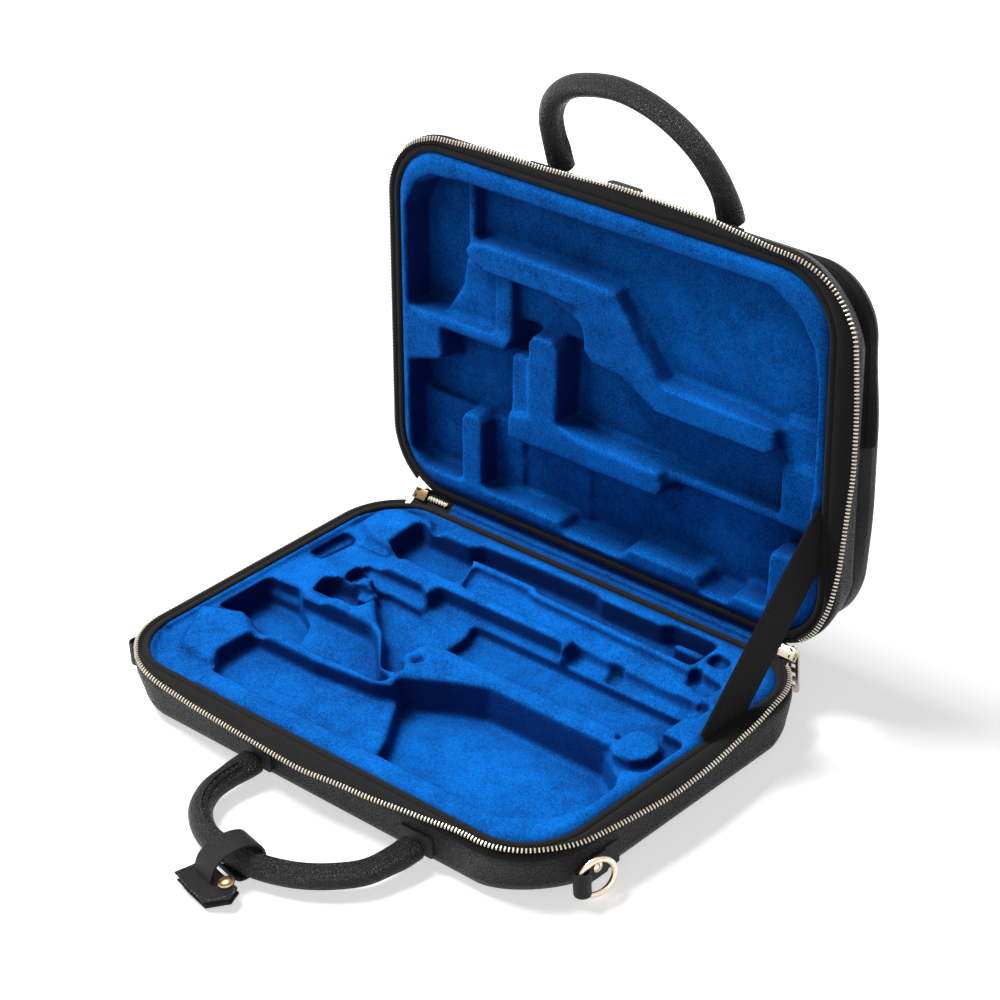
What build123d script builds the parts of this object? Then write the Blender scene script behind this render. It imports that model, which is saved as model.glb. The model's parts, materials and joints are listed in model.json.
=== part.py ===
from build123d import *
import os
from math import asin, atan, cos, degrees, radians, sin, sqrt

# Zip-fastened oboe case, lying open. Millimetres, +Z up, +X along the hinge, -Y towards the front.
# The origin is on the floor, under the middle of the base.

# Moulded trays and the shells around them
tray_length = 316.0
tray_depth = 218.0
tray_corner = 37.0
tray_rise = 4.2             # how far a tray stands above its rim
tray_edge_radius = 5.0
band_width = 5.5            # black band between a tray and the outside of the shell
band_height = 3.0
band_edge_radius = 1.0
base_height = 29.0          # floor to base rim
lid_height = 24.0           # lid back to lid rim
base_edge_radius = 6.0
lid_edge_radius = 8.0
lid_fall = 10.0             # how far the lid's front wall leans in, from rim to back
rim_gap = 9.0               # rim to rim with the case shut, filled by the zip
cover_thickness = 1.5
bond = 0.1                  # glue line between leather and core
tray_gap = 0.4              # fit of a tray in its core
clear = 0.3                 # running and seating clearance
open_angle = 94.0           # lid angle held by the stay strap

# Zip
tape_thickness = 1.2
tape_height = 1.9
tape_inset = 1.0
teeth_width = 3.2
teeth_height = 2.1
zip_end_inset = 18.5        # where the open chains stop, in from the shell's ends
slider_length = 10.0
slider_width = 6.8
slider_height = 4.6
slider_inset = 24.5         # slider centre, in from the shell's ends
slider_plate = 1.1
wedge_length = 3.5
wedge_width = 1.6
wedge_place = 2.2           # towards the open chains
bridge_length = 5.2
bridge_width = 2.0
bridge_rise = 1.2
bridge_place = 1.0
chain_height = 2.4          # closed teeth
pull_length = 26.6
pull_width = 7.0
pull_thickness = 1.2
pull_corner = 2.2
pull_holes = 4
pull_hole = 2.6
pull_pitch = 5.6
pull_first = 4.2            # first hole from the top
pull_back = 4.6             # pull's pivot, behind the hinge line
pull_drop = 1.5             # and below it
pull_lead = 0.9             # pull above its pivot

# Rolled handles
base_handle_centre = 21.0   # both handles sit a little right of the middle
lid_handle_centre = 11.0
handle_radius = 60.0        # centreline of the arch
handle_thickness = 12.0
handle_leg = 2.0            # straight part between root and arch
root_radius = 6.8           # round end that turns at the wall
root_edge_radius = 1.0
handle_height = 11.0        # root above the floor, or from the lid's back
handle_lean = 20.0          # lid handle's lean towards the opening
patch_length = 24.0
patch_height = 13.0
patch_thickness = 1.4
patch_corner = 2.5

# Hinge along the back
hinge_margin = 3.0          # hinge ends, in from the shell's corners
hinge_leather = 1.2
hinge_leg = 9.0             # leather glued to each wall
crease_velvet = 0.9
crease_margin = 4.0         # velvet crease ends, in from the leather's
crease_bend = 1.0           # crease turns this far inside the walls

# Stay strap
strap_slope = 45.0
strap_width = 25.0
strap_thickness = 1.3
strap_reach = 79.0          # middle of each end, from the hinge

# Strap rings
ring_radius = 10.4          # centreline
ring_wire = 3.2
ring_swing = 17.0           # rest angle away from the wall
tab_height = 14.0
tab_leather = 1.1
tab_length = 32.0
ring_inset = 27.7           # loop centre, behind the shell's front
ring_height = 12.5
rivet_dome = 4.48           # radius of the rivet's domed head
rivet_rise = 1.4
rivet_reach = 15.0          # rivet, behind the loop

# Music pocket on the lid's back
pocket_inset = 5.0
pocket_depth = 19.0
pocket_edge_radius = 8.0
pocket_wall = 1.5
gusset_height = 8.0
pocket_seam = 118.0         # zip gusset ends here, from the hinge
coil_width = 4.0
coil_rise = 0.8
pocket_slider_length = 9.0
pocket_slider_width = 6.0
pocket_slider_rise = 2.2
pocket_slider_corner = 1.5
pocket_bridge_length = 4.4
pocket_bridge_width = 2.0
pocket_bridge_rise = 1.2
pocket_pull_length = 24.0
pocket_pull_width = 7.0
pocket_pull_corner = 3.0
pocket_pull_thickness = 1.6
pocket_pull_gap = 0.5       # bridge to pull
pocket_pull_reach = 11.0    # pull's middle, beside the slider's

# Luggage tag on the base handle
tag_angle = 11.0            # place of its loop on the arch, left of the middle
tag_loop_width = 16.0
tag_leather = 1.6
tag_tilt = 7.0              # plates slope down to the floor
tag_offset = 7.5            # middle of the plates, right of the loop
tag_length = 36.0
tag_depth = 18.0
tag_stub = 1.0
tag_snap_radius = 4.0
tag_snap_offset = 13.0      # snap's middle, right of the loop
tag_snap_reach = 7.0        # and beyond the plates' near edge
tag_snap_rise = 1.0
tag_corner = 1.2

# Wells: depths below a tray's top
bell_well = 20.0
joint_well = 18.5
accessory_well = 21.0
side_well = 11.0
lid_well = 19.0
draft = 6.0
well_corner = 4.0

# Layout grid that the well outlines are drawn on
grid_length = 316.0
grid_depth = 218.0

# Worked-out sizes
shell_length = tray_length + 2 * band_width
shell_depth = tray_depth + 2 * band_width
shell_corner = tray_corner + band_width
core_thickness = band_width - cover_thickness - bond - tray_gap
tray_bottom = cover_thickness + bond + core_thickness + tray_gap
hinge_y = shell_depth / 2
hinge_z = base_height + rim_gap / 2
front_y = -shell_depth / 2
zip_end_reach = shell_length / 2 - zip_end_inset
slider_reach = shell_length / 2 - slider_inset
hinge_half = shell_length / 2 - shell_corner - hinge_margin
ring_place = front_y + ring_inset
handle_root = root_radius + clear
tag_bow = tag_loop_width**2 / 8 / handle_radius
tag_bore = handle_thickness / 2 + tag_bow + clear
floor_gap = 0.4             # tag loop above the floor
base_droop = degrees(asin((handle_height - tag_bore - tag_leather - floor_gap) / handle_radius))

# Directions of the open lid: up its length, and out of its opening
lid_up = (0, -cos(radians(open_angle)), sin(radians(open_angle)))
lid_out = (0, -sin(radians(open_angle)), -cos(radians(open_angle)))
lid_mid = lid_height + rim_gap / 2
lid_hip = lid_height - band_height
lid_lean = lid_fall / lid_hip
lid_plane = Plane(
    origin=(
        0,
        hinge_y + hinge_y * lid_up[1] - lid_mid * lid_out[1],
        hinge_z + hinge_y * lid_up[2] - lid_mid * lid_out[2],
    ),
    x_dir=(-1, 0, 0),
    z_dir=lid_out,
)

parts = {}


def on_lid(shape):
    """Move a shape from the lid's own frame, opening up, to the open lid."""
    return lid_plane.location * shape


def lid_world(y, z):
    """World Y and Z of a point of the lid's own frame."""
    point = Vector(*lid_plane.origin) + Vector(*lid_plane.y_dir) * y + Vector(*lid_plane.z_dir) * z
    return point.Y, point.Z


def shell_plan(inset, fall=0.0):
    """Shell's outline in plan, drawn in all round and once more at the front."""
    plan = RectangleRounded(shell_length - 2 * inset, shell_depth - 2 * inset - fall, shell_corner - inset)
    return Pos(0, fall / 2) * plan


def block(plan, bottom, top):
    """Upright block on a plan."""
    return Pos(0, 0, bottom) * extrude(plan, top - bottom)


def leaning_block(inset, bottom, top, hip, lean):
    """Block on the shell's outline whose front wall leans in below the hip, or out above it."""
    plan = shell_plan(inset)
    if lean == 0:
        return block(plan, bottom, top)
    rise = top - bottom
    front = plan & Pos(0, -shell_depth / 2) * Rectangle(2 * shell_length, 1.25 * shell_depth)
    rear = plan & Pos(0, shell_depth / 2) * Rectangle(2 * shell_length, shell_depth)
    front = Pos(0, lean * (hip - top), top) * front
    run = rise * sqrt(1 + lean**2)
    return extrude(front, run, dir=(0, lean * rise / run, -rise / run)) + block(rear, bottom, top)


def dish(inset, bottom, top, edge_radius, hip, lean):
    """Shell-shaped block, rounded at its bottom edge."""
    body = leaning_block(inset, bottom, top, hip, lean)
    return fillet(body.faces().sort_by(Axis.Z)[0].edges(), edge_radius)


def make_cover(height, edge_radius, lean):
    """Leather skin with its floor."""
    top = height - band_height
    outer = dish(0, 0, top, edge_radius, top, lean)
    inner = dish(cover_thickness, cover_thickness, top + 1, edge_radius - cover_thickness, top, lean)
    return outer - inner


def make_core(height, edge_radius, lean):
    """Stiff shell that the leather is glued to."""
    top = height - band_height
    skin = cover_thickness + bond
    outer = dish(skin, skin, top, edge_radius - skin, top, lean)
    inset = skin + core_thickness
    inner = dish(inset, inset, top + 1, edge_radius - inset, top, lean)
    return outer - inner


def make_band(height):
    """Rim band between tray and shell."""
    outer = block(shell_plan(0), height - band_height, height)
    outer = fillet(outer.faces().sort_by(Axis.Z)[-1].edges(), band_edge_radius)
    return outer - block(shell_plan(band_width - clear), height - band_height - 1, height + 1)


def rim_ribbon(inset, thickness, bottom, top):
    """Ribbon along the rim, left out along the hinge."""
    ribbon = block(shell_plan(inset), bottom, top) - block(shell_plan(inset + thickness), bottom - 1, top + 1)
    gap = Pos(0, hinge_y, bottom) * Box(2 * zip_end_reach, 2 * shell_corner, 2 * rim_gap)
    return ribbon - gap


def make_tape(height):
    """Zip tape: a ribbon round three sides, and a short web by each end of the hinge."""
    ribbon = rim_ribbon(tape_inset, tape_thickness, height, height + tape_height)
    web_length = slider_reach - slider_length / 2 - hinge_half
    web_x = hinge_half + web_length / 2
    web_y = rear_line(web_x + web_length / 2) - tape_thickness - clear
    web_top = height + rim_gap / 2 - teeth_width / 2 - clear
    web = Box(web_length, tape_thickness, web_top - height, align=(Align.CENTER, Align.CENTER, Align.MIN))
    return Compound(children=[ribbon, Pos(web_x, web_y, height) * web, Pos(-web_x, web_y, height) * web])


def rear_line(x):
    """Y of the shell's rear outline at a given X."""
    straight = shell_length / 2 - shell_corner
    if abs(x) <= straight:
        return hinge_y
    return hinge_y - shell_corner + sqrt(shell_corner**2 - (abs(x) - straight) ** 2)


def make_teeth(height):
    """Row of metal teeth on the tape's edge."""
    bottom = height + tape_height
    return rim_ribbon(0.0, teeth_width, bottom, bottom + teeth_height)


def tray_point(x, v, side):
    """Plan point of a tray: x along the hinge, v from the hinge, side -1 for the lid."""
    return side * x * tray_length / grid_length, (hinge_y - v) * tray_depth / grid_depth


def outline(points, corner, side):
    """Rounded outline in plan."""
    plan = make_face(Polyline(*[tray_point(x, v, side) for x, v in points], close=True))
    return fillet(plan.vertices(), corner)


def well(points, depth, top, side=1, corner=well_corner, slope=draft):
    """Drafted hollow, narrower at its floor."""
    over = 2.0
    plan = outline(points, corner, side)
    return Pos(0, 0, top) * (extrude(plan, -depth, taper=slope) + extrude(plan, over))


def boss(points, low, high, top, side=1, corner=well_corner, slope=draft):
    """Drafted block that stands between two depths below a tray's top, wider at its foot."""
    return Pos(0, 0, top - high) * extrude(outline(points, corner, side), high - low, taper=-slope)


def tray_block(height, edge_radius, lean):
    """Tray before its wells are moulded."""
    top = height + tray_rise
    hip = height - band_height
    upright = block(shell_plan(band_width), tray_bottom, top)
    upright = fillet(upright.faces().sort_by(Axis.Z)[-1].edges(), tray_edge_radius)
    low_radius = edge_radius - tray_bottom + clear
    return upright & dish(band_width, tray_bottom, top, low_radius, hip, lean)


def make_base_tray():
    """Base tray with the wells of the instrument's joints, bell and accessories."""
    top = base_height + tray_rise
    tray = tray_block(base_height, base_edge_radius, 0)
    wells = [
        # rear channel and its left end
        well([(-109, 26), (-76, 25), (-69, 19), (-29, 17.5), (16, 17.5), (23, 20), (66, 20), (71, 15.5),
              (104, 15.5), (105, 41), (-11, 37.5), (-15, 34), (-64, 34), (-72, 44)], 14, top, corner=2.5),
        well([(-121, 20), (-108, 24), (-76, 25), (-62, 36), (-52, 59), (-104, 57), (-118, 50)], 14.5, top),
        # shallow deck in front of the rear channel
        well([(-60, 38.5), (-17, 38.5), (-11, 42), (107, 45.5), (131, 46), (131, 62), (36, 61), (-50, 59)],
             5, top, corner=2.5),
        well([(107, 40), (114.5, 40), (115.5, 52), (108, 52)], 9, top, corner=2),
        well([(112, 42), (131, 45), (131, 55), (114, 54)], 7, top, corner=2.5),
        well([(107, 22), (120, 24), (122, 34), (109, 34)], 6, top, corner=3),
        # joint well: high ledge, low floor and right-hand shelf
        well([(-60, 66.5), (37, 66.5), (38, 112), (-58, 112)], 11.5, top),
        well([(-31, 70.5), (134, 70.5), (134, 112), (-22, 112), (-24, 84)], joint_well, top),
        well([(38, 57), (128, 61), (134, 72), (134, 112), (38, 112)], 11.7, top, slope=18, corner=6),
        well([(62, 58), (75, 58), (77, 70), (66, 71)], 15, top, corner=2.5),
        well([(127, 62), (139, 64), (139, 80), (127, 80)], 9, top, corner=3),
        # bell well and its narrower neck
        well([(-149, 116), (-125, 114), (-117, 119.5), (-62, 119), (-52, 124), (-26, 148), (-12, 150.5),
              (-17, 157.5), (-60, 160), (-128, 155), (-149, 158)], 13, top, corner=3.5),
        well([(-149, 118), (-122, 117), (-102, 127), (-92, 145), (-94, 162), (-112, 160), (-128, 154),
              (-149, 157)], bell_well, top),
        # key wells between bell and joint
        well([(-124, 97), (-116, 91), (-88, 92), (-80, 99), (-82, 112), (-119, 112)], 16, top, corner=3),
        well([(-98, 86), (-84, 81), (-44, 84), (-30, 92), (-23, 107), (-26, 131), (-16, 139), (-15, 146),
              (-28, 146), (-52, 120), (-62, 115), (-82, 97)], 14, top, corner=3),
        well([(-116, 72), (-68, 72), (-60, 77), (-33, 77), (-30, 86), (-84, 86), (-104, 84)], 8, top, corner=2.5),
        well([(-117, 76), (-106, 76), (-103, 91), (-115, 91)], 13, top, corner=2.5),
        well([(-150.5, 53), (-141, 54), (-137, 61), (-139, 83), (-150.5, 86)], 9, top, corner=3),
        well([(-138, 52), (-112, 54), (-106, 60), (-137, 61)], 4, top, corner=2.5),
        well([(-20, 125), (-12, 125), (-13, 133), (-20, 133)], 4, top, corner=2),
        # front accessory well: shallow left part, deep right part
        well([(-110, 165), (-60, 165), (-19, 160.5), (4, 150), (30, 207), (-97, 207), (-110, 192)],
             side_well, top, corner=5),
        well([(-13, 148), (14, 133), (34, 124.5), (118, 124.5), (138, 136), (146, 150), (147, 172),
              (139, 191), (118, 207), (22, 207), (12, 186), (-4, 163)], accessory_well, top, corner=5, slope=12),
        # low ground round the front-right dome
        well([(114, 99), (150, 99), (150, 132), (136, 138), (119, 129)], 7, top, corner=4),
        # grooves that set off the two left corner pads
        well([(-154, 168), (-151, 167), (-151, 190), (-138, 203.5), (-116, 204.5), (-116, 208.5),
              (-140, 208.5), (-154, 195)], 2.6, top, corner=1.2, slope=0),
        well([(-153, 30), (-149, 21), (-140, 14), (-121, 12.5), (-121, 16), (-138, 17.5), (-146, 24),
              (-149.5, 32), (-148, 46), (-152, 46)], 2.6, top, corner=1.2, slope=0),
    ]
    for hollow in wells:
        tray -= hollow
    bosses = [
        boss([(80, 22.5), (100, 22.5), (100, 27.5), (80, 27.5)], 16, 5.5, top, corner=2.2),
        boss([(-98, 89), (-87, 88), (-85, 98), (-96, 99)], 18, 7, top, corner=3),
        boss([(120, 106), (127, 103), (137, 105), (143, 112), (143, 121), (137, 128), (126, 129), (120, 123)],
             9, 0.4, top, corner=5, slope=10),
    ]
    for block in bosses:
        tray += block
    return tray


def make_lid_tray():
    """Lid tray: one deep well, with the bars, pads and posts that hold the joints down."""
    top = lid_height + tray_rise
    tray = tray_block(lid_height, lid_edge_radius, lid_lean)
    tray -= well(
        [(-148, 27), (-137, 20), (-30, 20), (-27, 14), (16, 14), (23, 21.5), (72, 21.5), (76, 13.5), (94, 13.5),
         (99, 20), (121, 20), (123, 56), (146, 58), (150, 110), (150, 160), (146, 182), (135, 197), (118, 207.5),
         (-100, 208), (-128, 206), (-140, 199), (-149, 182), (-149, 120), (-123, 114), (-121, 94), (-149, 86)],
        lid_well, top, -1, corner=3.5)
    low = lid_well + 1.5
    bosses = [
        # raised floor of the upper right panel, then the long cranked bar below it
        boss([(-99, 212), (-99, 172), (8, 170), (44, 128), (152, 126), (152, 163), (146, 187), (130, 212)],
             low, 13.5, top, -1, slope=0),
        boss([(-102, 166), (-96, 160), (-82, 158), (-14, 157), (-12, 133), (-5, 126), (16, 125), (30, 117),
              (38, 111.5), (116, 111.5), (123, 115), (122, 127), (44, 128), (9, 173), (-88, 174.5), (-100, 171)],
             low, 0.5, top, -1, slope=9, corner=3),
        # floor of the slot under the bar, bell cradle steps, low bar
        boss([(-72, 132), (-10, 132), (-10, 160), (-72, 160)], low, 11, top, -1, slope=0),
        boss([(-109, 158), (-111, 141), (-122, 125), (-125, 118), (-69, 118), (-69, 160)], low, 9, top, -1,
             slope=22, corner=2.5),
        boss([(-82, 118), (-69, 118), (-69, 158), (-82, 158)], low, 4, top, -1, corner=2.5),
        boss([(-153, 113), (-72, 113), (-69, 119), (-75, 121), (-153, 120)], low, 0.8, top, -1, corner=2),
        boss([(-103, 164), (-98, 164), (-98, 212), (-103, 212)], low, 5, top, -1, corner=1.5),
        # lower left step, post and end of the second bar
        boss([(-153, 20), (-70, 16), (-70, 63), (-153, 65)], low, 14, top, -1, slope=0, corner=3),
        boss([(-107, 16), (-91, 16), (-91, 61), (-95, 65), (-104, 65), (-107, 60)], low, 0.8, top, -1, corner=3),
        boss([(-72, 18), (-20, 10), (-20, 64), (-72, 64)], low, 16.5, top, -1, slope=0, corner=3),
        # big block and second bar
        boss([(-69, 61), (-36, 61), (-34, 112), (-68, 114)], low, 2.6, top, -1, corner=4),
        boss([(-54, 61), (-34, 61), (-31, 124), (-36, 130), (-50, 130), (-54, 124)], low, 0.8, top, -1, corner=4),
        boss([(-70, 61), (42, 61), (46, 66), (42, 75), (-12, 76), (-36, 80), (-70, 76)], low, 0.5, top, -1,
             slope=9, corner=3),
        boss([(40, 69), (128, 69), (128, 74.5), (40, 74.5)], low, 9, top, -1, corner=2),
        # pads at the right-hand end
        boss([(123, 71), (154, 69), (154, 107), (125, 108)], low, 6, top, -1, corner=3),
        boss([(124, 108), (154, 108), (154, 132), (124, 132)], low, 9, top, -1, corner=3),
    ]
    for block in bosses:
        tray += block
    return tray & tray_block(lid_height, lid_edge_radius, lid_lean)


def make_hinge_strips():
    """Outer leather hinge and inner velvet crease, as they lie with the case open."""
    base_end = base_height - band_height - hinge_leg
    lid_end = lid_height - band_height - hinge_leg
    outer_path = [
        (hinge_y, base_end),
        (hinge_y, base_height - band_height),
        (hinge_y + clear, base_height + clear),
        lid_world(hinge_y + clear, lid_height + clear),
        lid_world(hinge_y + clear, lid_end),
    ]
    back_path = [
        lid_world(hinge_y + clear + hinge_leather, lid_end),
        lid_world(hinge_y + clear + hinge_leather, lid_height),
        (hinge_y + hinge_leather + clear, base_height),
        (hinge_y + hinge_leather, base_height - band_height),
        (hinge_y + hinge_leather, base_end),
    ]
    section = make_face(Plane.YZ * Polyline(*(outer_path + back_path), close=True))
    outer = Pos(-hinge_half, 0, 0) * extrude(section, 2 * hinge_half, dir=(1, 0, 0))
    half = hinge_half - crease_margin
    edge = hinge_y - band_width + 2 * clear
    bend = hinge_y - crease_bend
    inner_bend = bend - crease_velvet / 2
    low, high = base_height + clear, lid_height + clear
    inner_path = [
        (edge, low),
        (bend, low),
        lid_world(bend, high),
        lid_world(edge, high),
        lid_world(edge, high + crease_velvet),
        lid_world(inner_bend, high + crease_velvet),
        (inner_bend, low + crease_velvet),
        (edge, low + crease_velvet),
    ]
    section = make_face(Plane.YZ * Polyline(*inner_path, close=True))
    inner = Pos(-half, 0, 0) * extrude(section, 2 * half, dir=(1, 0, 0))
    return outer, inner


def make_slider(side):
    """Main slider: two plates on a wedge, on the hinge line at one rear corner."""
    plate = Box(slider_length, slider_width, slider_plate)
    wedge = Pos(side * wedge_place, 0, 0) * Box(wedge_length, wedge_width, slider_height)
    bridge_z = (slider_height + bridge_rise) / 2
    bridge = Pos(side * bridge_place, 0, bridge_z) * Box(bridge_length, bridge_width, bridge_rise)
    rise = (slider_height - slider_plate) / 2
    body = Pos(0, 0, rise) * plate + Pos(0, 0, -rise) * plate + wedge + bridge
    turn = Pos(side * slider_reach, hinge_y, hinge_z) * Rot(-135, 0, 0)
    return turn * body


def make_joined_chain(side):
    """Short length of closed teeth between a slider and the end of the hinge."""
    inner = hinge_half + clear
    outer = slider_reach - slider_length / 2
    chain = Box(outer - inner, teeth_width, chain_height)
    return Pos(side * (inner + outer) / 2, hinge_y, hinge_z) * Rot(-135, 0, 0) * chain


def make_pull():
    """Long perforated pull, flat, with its top towards +Y."""
    blade = extrude(RectangleRounded(pull_width, pull_length, pull_corner), pull_thickness / 2, both=True)
    for row in range(pull_holes):
        hole = Box(pull_hole, pull_hole, 2 * pull_thickness)
        blade -= Pos(0, pull_length / 2 - pull_first - row * pull_pitch, 0) * hole
    return blade


def place_pull(side):
    """Pull at rest, straight down from the slider's bridge."""
    z = hinge_z - pull_drop + pull_lead - pull_length / 2
    return Pos(side * slider_reach, hinge_y + pull_back, z) * Rot(90, 0, 0) * make_pull()


def make_handle():
    """Rolled leather handle with a round root at each end; root line on X, arch towards +Y."""
    start = (-handle_radius, 0, 0)
    bend = (-handle_radius, handle_leg, 0)
    far_bend = (handle_radius, handle_leg, 0)
    path = Wire([
        Edge.make_line(start, bend),
        Edge.make_three_point_arc(bend, (0, handle_leg + handle_radius, 0), far_bend),
        Edge.make_line(far_bend, (handle_radius, 0, 0)),
    ])
    tube = sweep(Plane(origin=start, z_dir=(0, 1, 0)) * Circle(handle_thickness / 2), path)
    for side in (-1, 1):
        root = Pos(side * handle_radius, 0, 0) * Rot(0, 90, 0) * Cylinder(root_radius, 2 * root_radius)
        tube += fillet(root.edges(), root_edge_radius)
    return tube


def front_wall(x, hip, lean):
    """Plane on a shell's front wall at the handles' height, facing out, in the shell's own frame."""
    tilt = atan(lean)
    y = front_y + lean * (hip - handle_height)
    return Plane(origin=(x, y, handle_height), x_dir=(1, 0, 0), z_dir=(0, -cos(tilt), -sin(tilt)))


def handle_frame(x, hip, lean, rise):
    """From a handle's own frame to a shell's own frame; rise is its angle above level."""
    root = front_wall(x, hip, lean).location * Pos(0, 0, patch_thickness + handle_root)
    return Pos(*root.position) * Rot(0, 0, 180) * Rot(rise, 0, 0)


def base_handle_frame():
    """From the handle's own frame to the base handle, lying on the floor."""
    return handle_frame(base_handle_centre, base_height - band_height, 0, -base_droop)


def lid_handle_frame():
    """From the handle's own frame to the lid's own frame."""
    return handle_frame(-lid_handle_centre, lid_hip, lid_lean, handle_lean)


def make_patch(x, hip, lean):
    """Leather patch on a front wall, in a shell's own frame."""
    plan = Pos(0, patch_height / 2 - handle_thickness / 3) * RectangleRounded(patch_length, patch_height, patch_corner)
    return front_wall(x, hip, lean).location * extrude(plan, patch_thickness)


def make_ring_mount(side):
    """Leather tab, its loop, and the rivet that closes it, on a short wall of the base."""
    bore = tab_bore()
    outer = bore + tab_leather
    loop_x = tab_axis()
    loop = Cylinder(outer, tab_height) - Cylinder(bore, tab_height + 2)
    tongue = Pos(-outer + tab_leather, tab_length / 2, 0) * Box(2 * tab_leather, tab_length, tab_height)
    tongue -= Cylinder(bore, tab_height + 2)
    mount = loop + tongue
    mount = Pos(loop_x, ring_place, ring_height) * mount
    face = loop_x - outer + 2 * tab_leather
    cap = Sphere(rivet_dome) & Pos(0, 0, rivet_dome) * Box(2 * rivet_dome, 2 * rivet_dome, 2 * rivet_rise)
    cap = Pos(0, 0, rivet_rise - rivet_dome) * cap
    cap = Pos(face, ring_place + rivet_reach, ring_height) * Rot(0, 90, 0) * cap
    if side < 0:
        mount = mirror(mount, about=Plane.YZ)
        cap = mirror(cap, about=Plane.YZ)
    return mount, cap


def ring_span():
    """Near and far reach of the ring from its centre, over the height of the tab."""
    near = sqrt((ring_radius - ring_wire / 2) ** 2 - (tab_height / 2) ** 2)
    return near, ring_radius + ring_wire / 2


def tab_bore():
    """Bore of the tab's loop, wide enough for the ring's arc to turn in it."""
    near, far = ring_span()
    return (far - near) / 2 + clear


def tab_axis():
    """X of the loop's centre."""
    return shell_length / 2 + clear + tab_bore() + tab_leather


def make_ring(side):
    """Round strap ring, swung out from the wall."""
    near, far = ring_span()
    ring = Pos(0, (near + far) / 2, 0) * Rot(0, 90, 0) * Torus(ring_radius, ring_wire / 2)
    ring = Pos(tab_axis(), ring_place, ring_height) * Rot(0, 0, -ring_swing) * ring
    if side < 0:
        ring = mirror(ring, about=Plane.YZ)
    return ring


def pocket_plan(inset):
    """Pocket's outline in plan."""
    return shell_plan(pocket_inset + inset, lid_fall)


def pocket_dish(inset, bottom, top, edge_radius):
    """Pocket-shaped block with its rounded face down."""
    body = block(pocket_plan(inset), bottom, top)
    return fillet(body.faces().sort_by(Axis.Z)[0].edges(), edge_radius)


def pocket_ring(inset, thickness, bottom, top):
    """Upright ring on the pocket's outline."""
    return block(pocket_plan(inset), bottom, top) - block(pocket_plan(inset + thickness), bottom - 1, top + 1)


def make_pocket():
    """Music pocket: face panel, zip gusset with its coil, and plain gusset below the seam."""
    seam_y = hinge_y - pocket_seam
    panel = pocket_dish(0, -pocket_depth, -gusset_height, pocket_edge_radius)
    panel -= pocket_dish(pocket_wall, pocket_wall - pocket_depth, 1 - gusset_height,
                         pocket_edge_radius - pocket_wall)
    wall = pocket_ring(0, pocket_wall, -gusset_height, 0)
    far = 2 * shell_length
    front_half = Pos(0, seam_y - far / 2 - clear / 2, 0) * Box(far, far, far)
    rear_half = Pos(0, seam_y + far / 2 + clear / 2, 0) * Box(far, far, far)
    coil_z = -gusset_height / 2
    coil = pocket_ring(-coil_rise, coil_rise, coil_z - coil_width / 2, coil_z + coil_width / 2)
    return panel, wall & front_half, wall & rear_half, coil & front_half


def pocket_front():
    """Y of the pocket's front wall in the lid's own frame."""
    return front_y + pocket_inset + lid_fall


def make_pocket_slider():
    """Slider of the pocket zip, at the middle of its straight run along the lid's front."""
    body = Box(pocket_slider_length, pocket_slider_rise, pocket_slider_width)
    body = fillet(body.edges().filter_by(Axis.Y), pocket_slider_corner)
    bridge = Box(pocket_bridge_length, pocket_bridge_rise, pocket_bridge_width)
    bridge = Pos(0, -(pocket_slider_rise + pocket_bridge_rise) / 2, 0) * bridge
    y = pocket_front() - coil_rise - clear - pocket_slider_rise / 2
    return Pos(0, y, -gusset_height / 2) * (body + bridge)


def make_pocket_pull():
    """Leather pull of the pocket slider, hanging beside the gusset."""
    plan = RectangleRounded(pocket_pull_width, pocket_pull_length, pocket_pull_corner)
    blade = extrude(plan, pocket_pull_thickness / 2, both=True)
    bridge_y = pocket_front() - coil_rise - clear - pocket_slider_rise - pocket_bridge_rise
    y = bridge_y - pocket_pull_gap - pocket_pull_thickness / 2
    return Pos(pocket_pull_reach, y, -gusset_height / 2) * Rot(0, 0, 90) * Rot(0, 90, 0) * blade


def make_strap():
    """Stay strap between the right-hand rims, just outside the trays."""
    x = tray_length / 2 + 2 * clear
    base_y = hinge_y - strap_reach
    half_cut = strap_width / (2 * sin(radians(strap_slope)))
    base_rim = base_height + clear
    lid_rim = lid_height + clear
    low = [(base_y - half_cut, base_rim), (base_y + half_cut, base_rim)]
    high = [lid_world(base_y + half_cut, lid_rim), lid_world(base_y - half_cut, lid_rim)]
    section = make_face(Plane.YZ * Polyline(*(low + high), close=True))
    return Pos(x, 0, 0) * extrude(section, strap_thickness, dir=(1, 0, 0))


def tag_frame():
    """Origin on the handle's centreline inside the tag loop, +Y outwards, in the world."""
    angle = radians(tag_angle)
    place = Pos(handle_radius * sin(angle), handle_leg + handle_radius * cos(angle), 0)
    return base_handle_frame() * place * Rot(0, 0, -tag_angle) * Rot(-tag_tilt, 0, 0)


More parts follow.
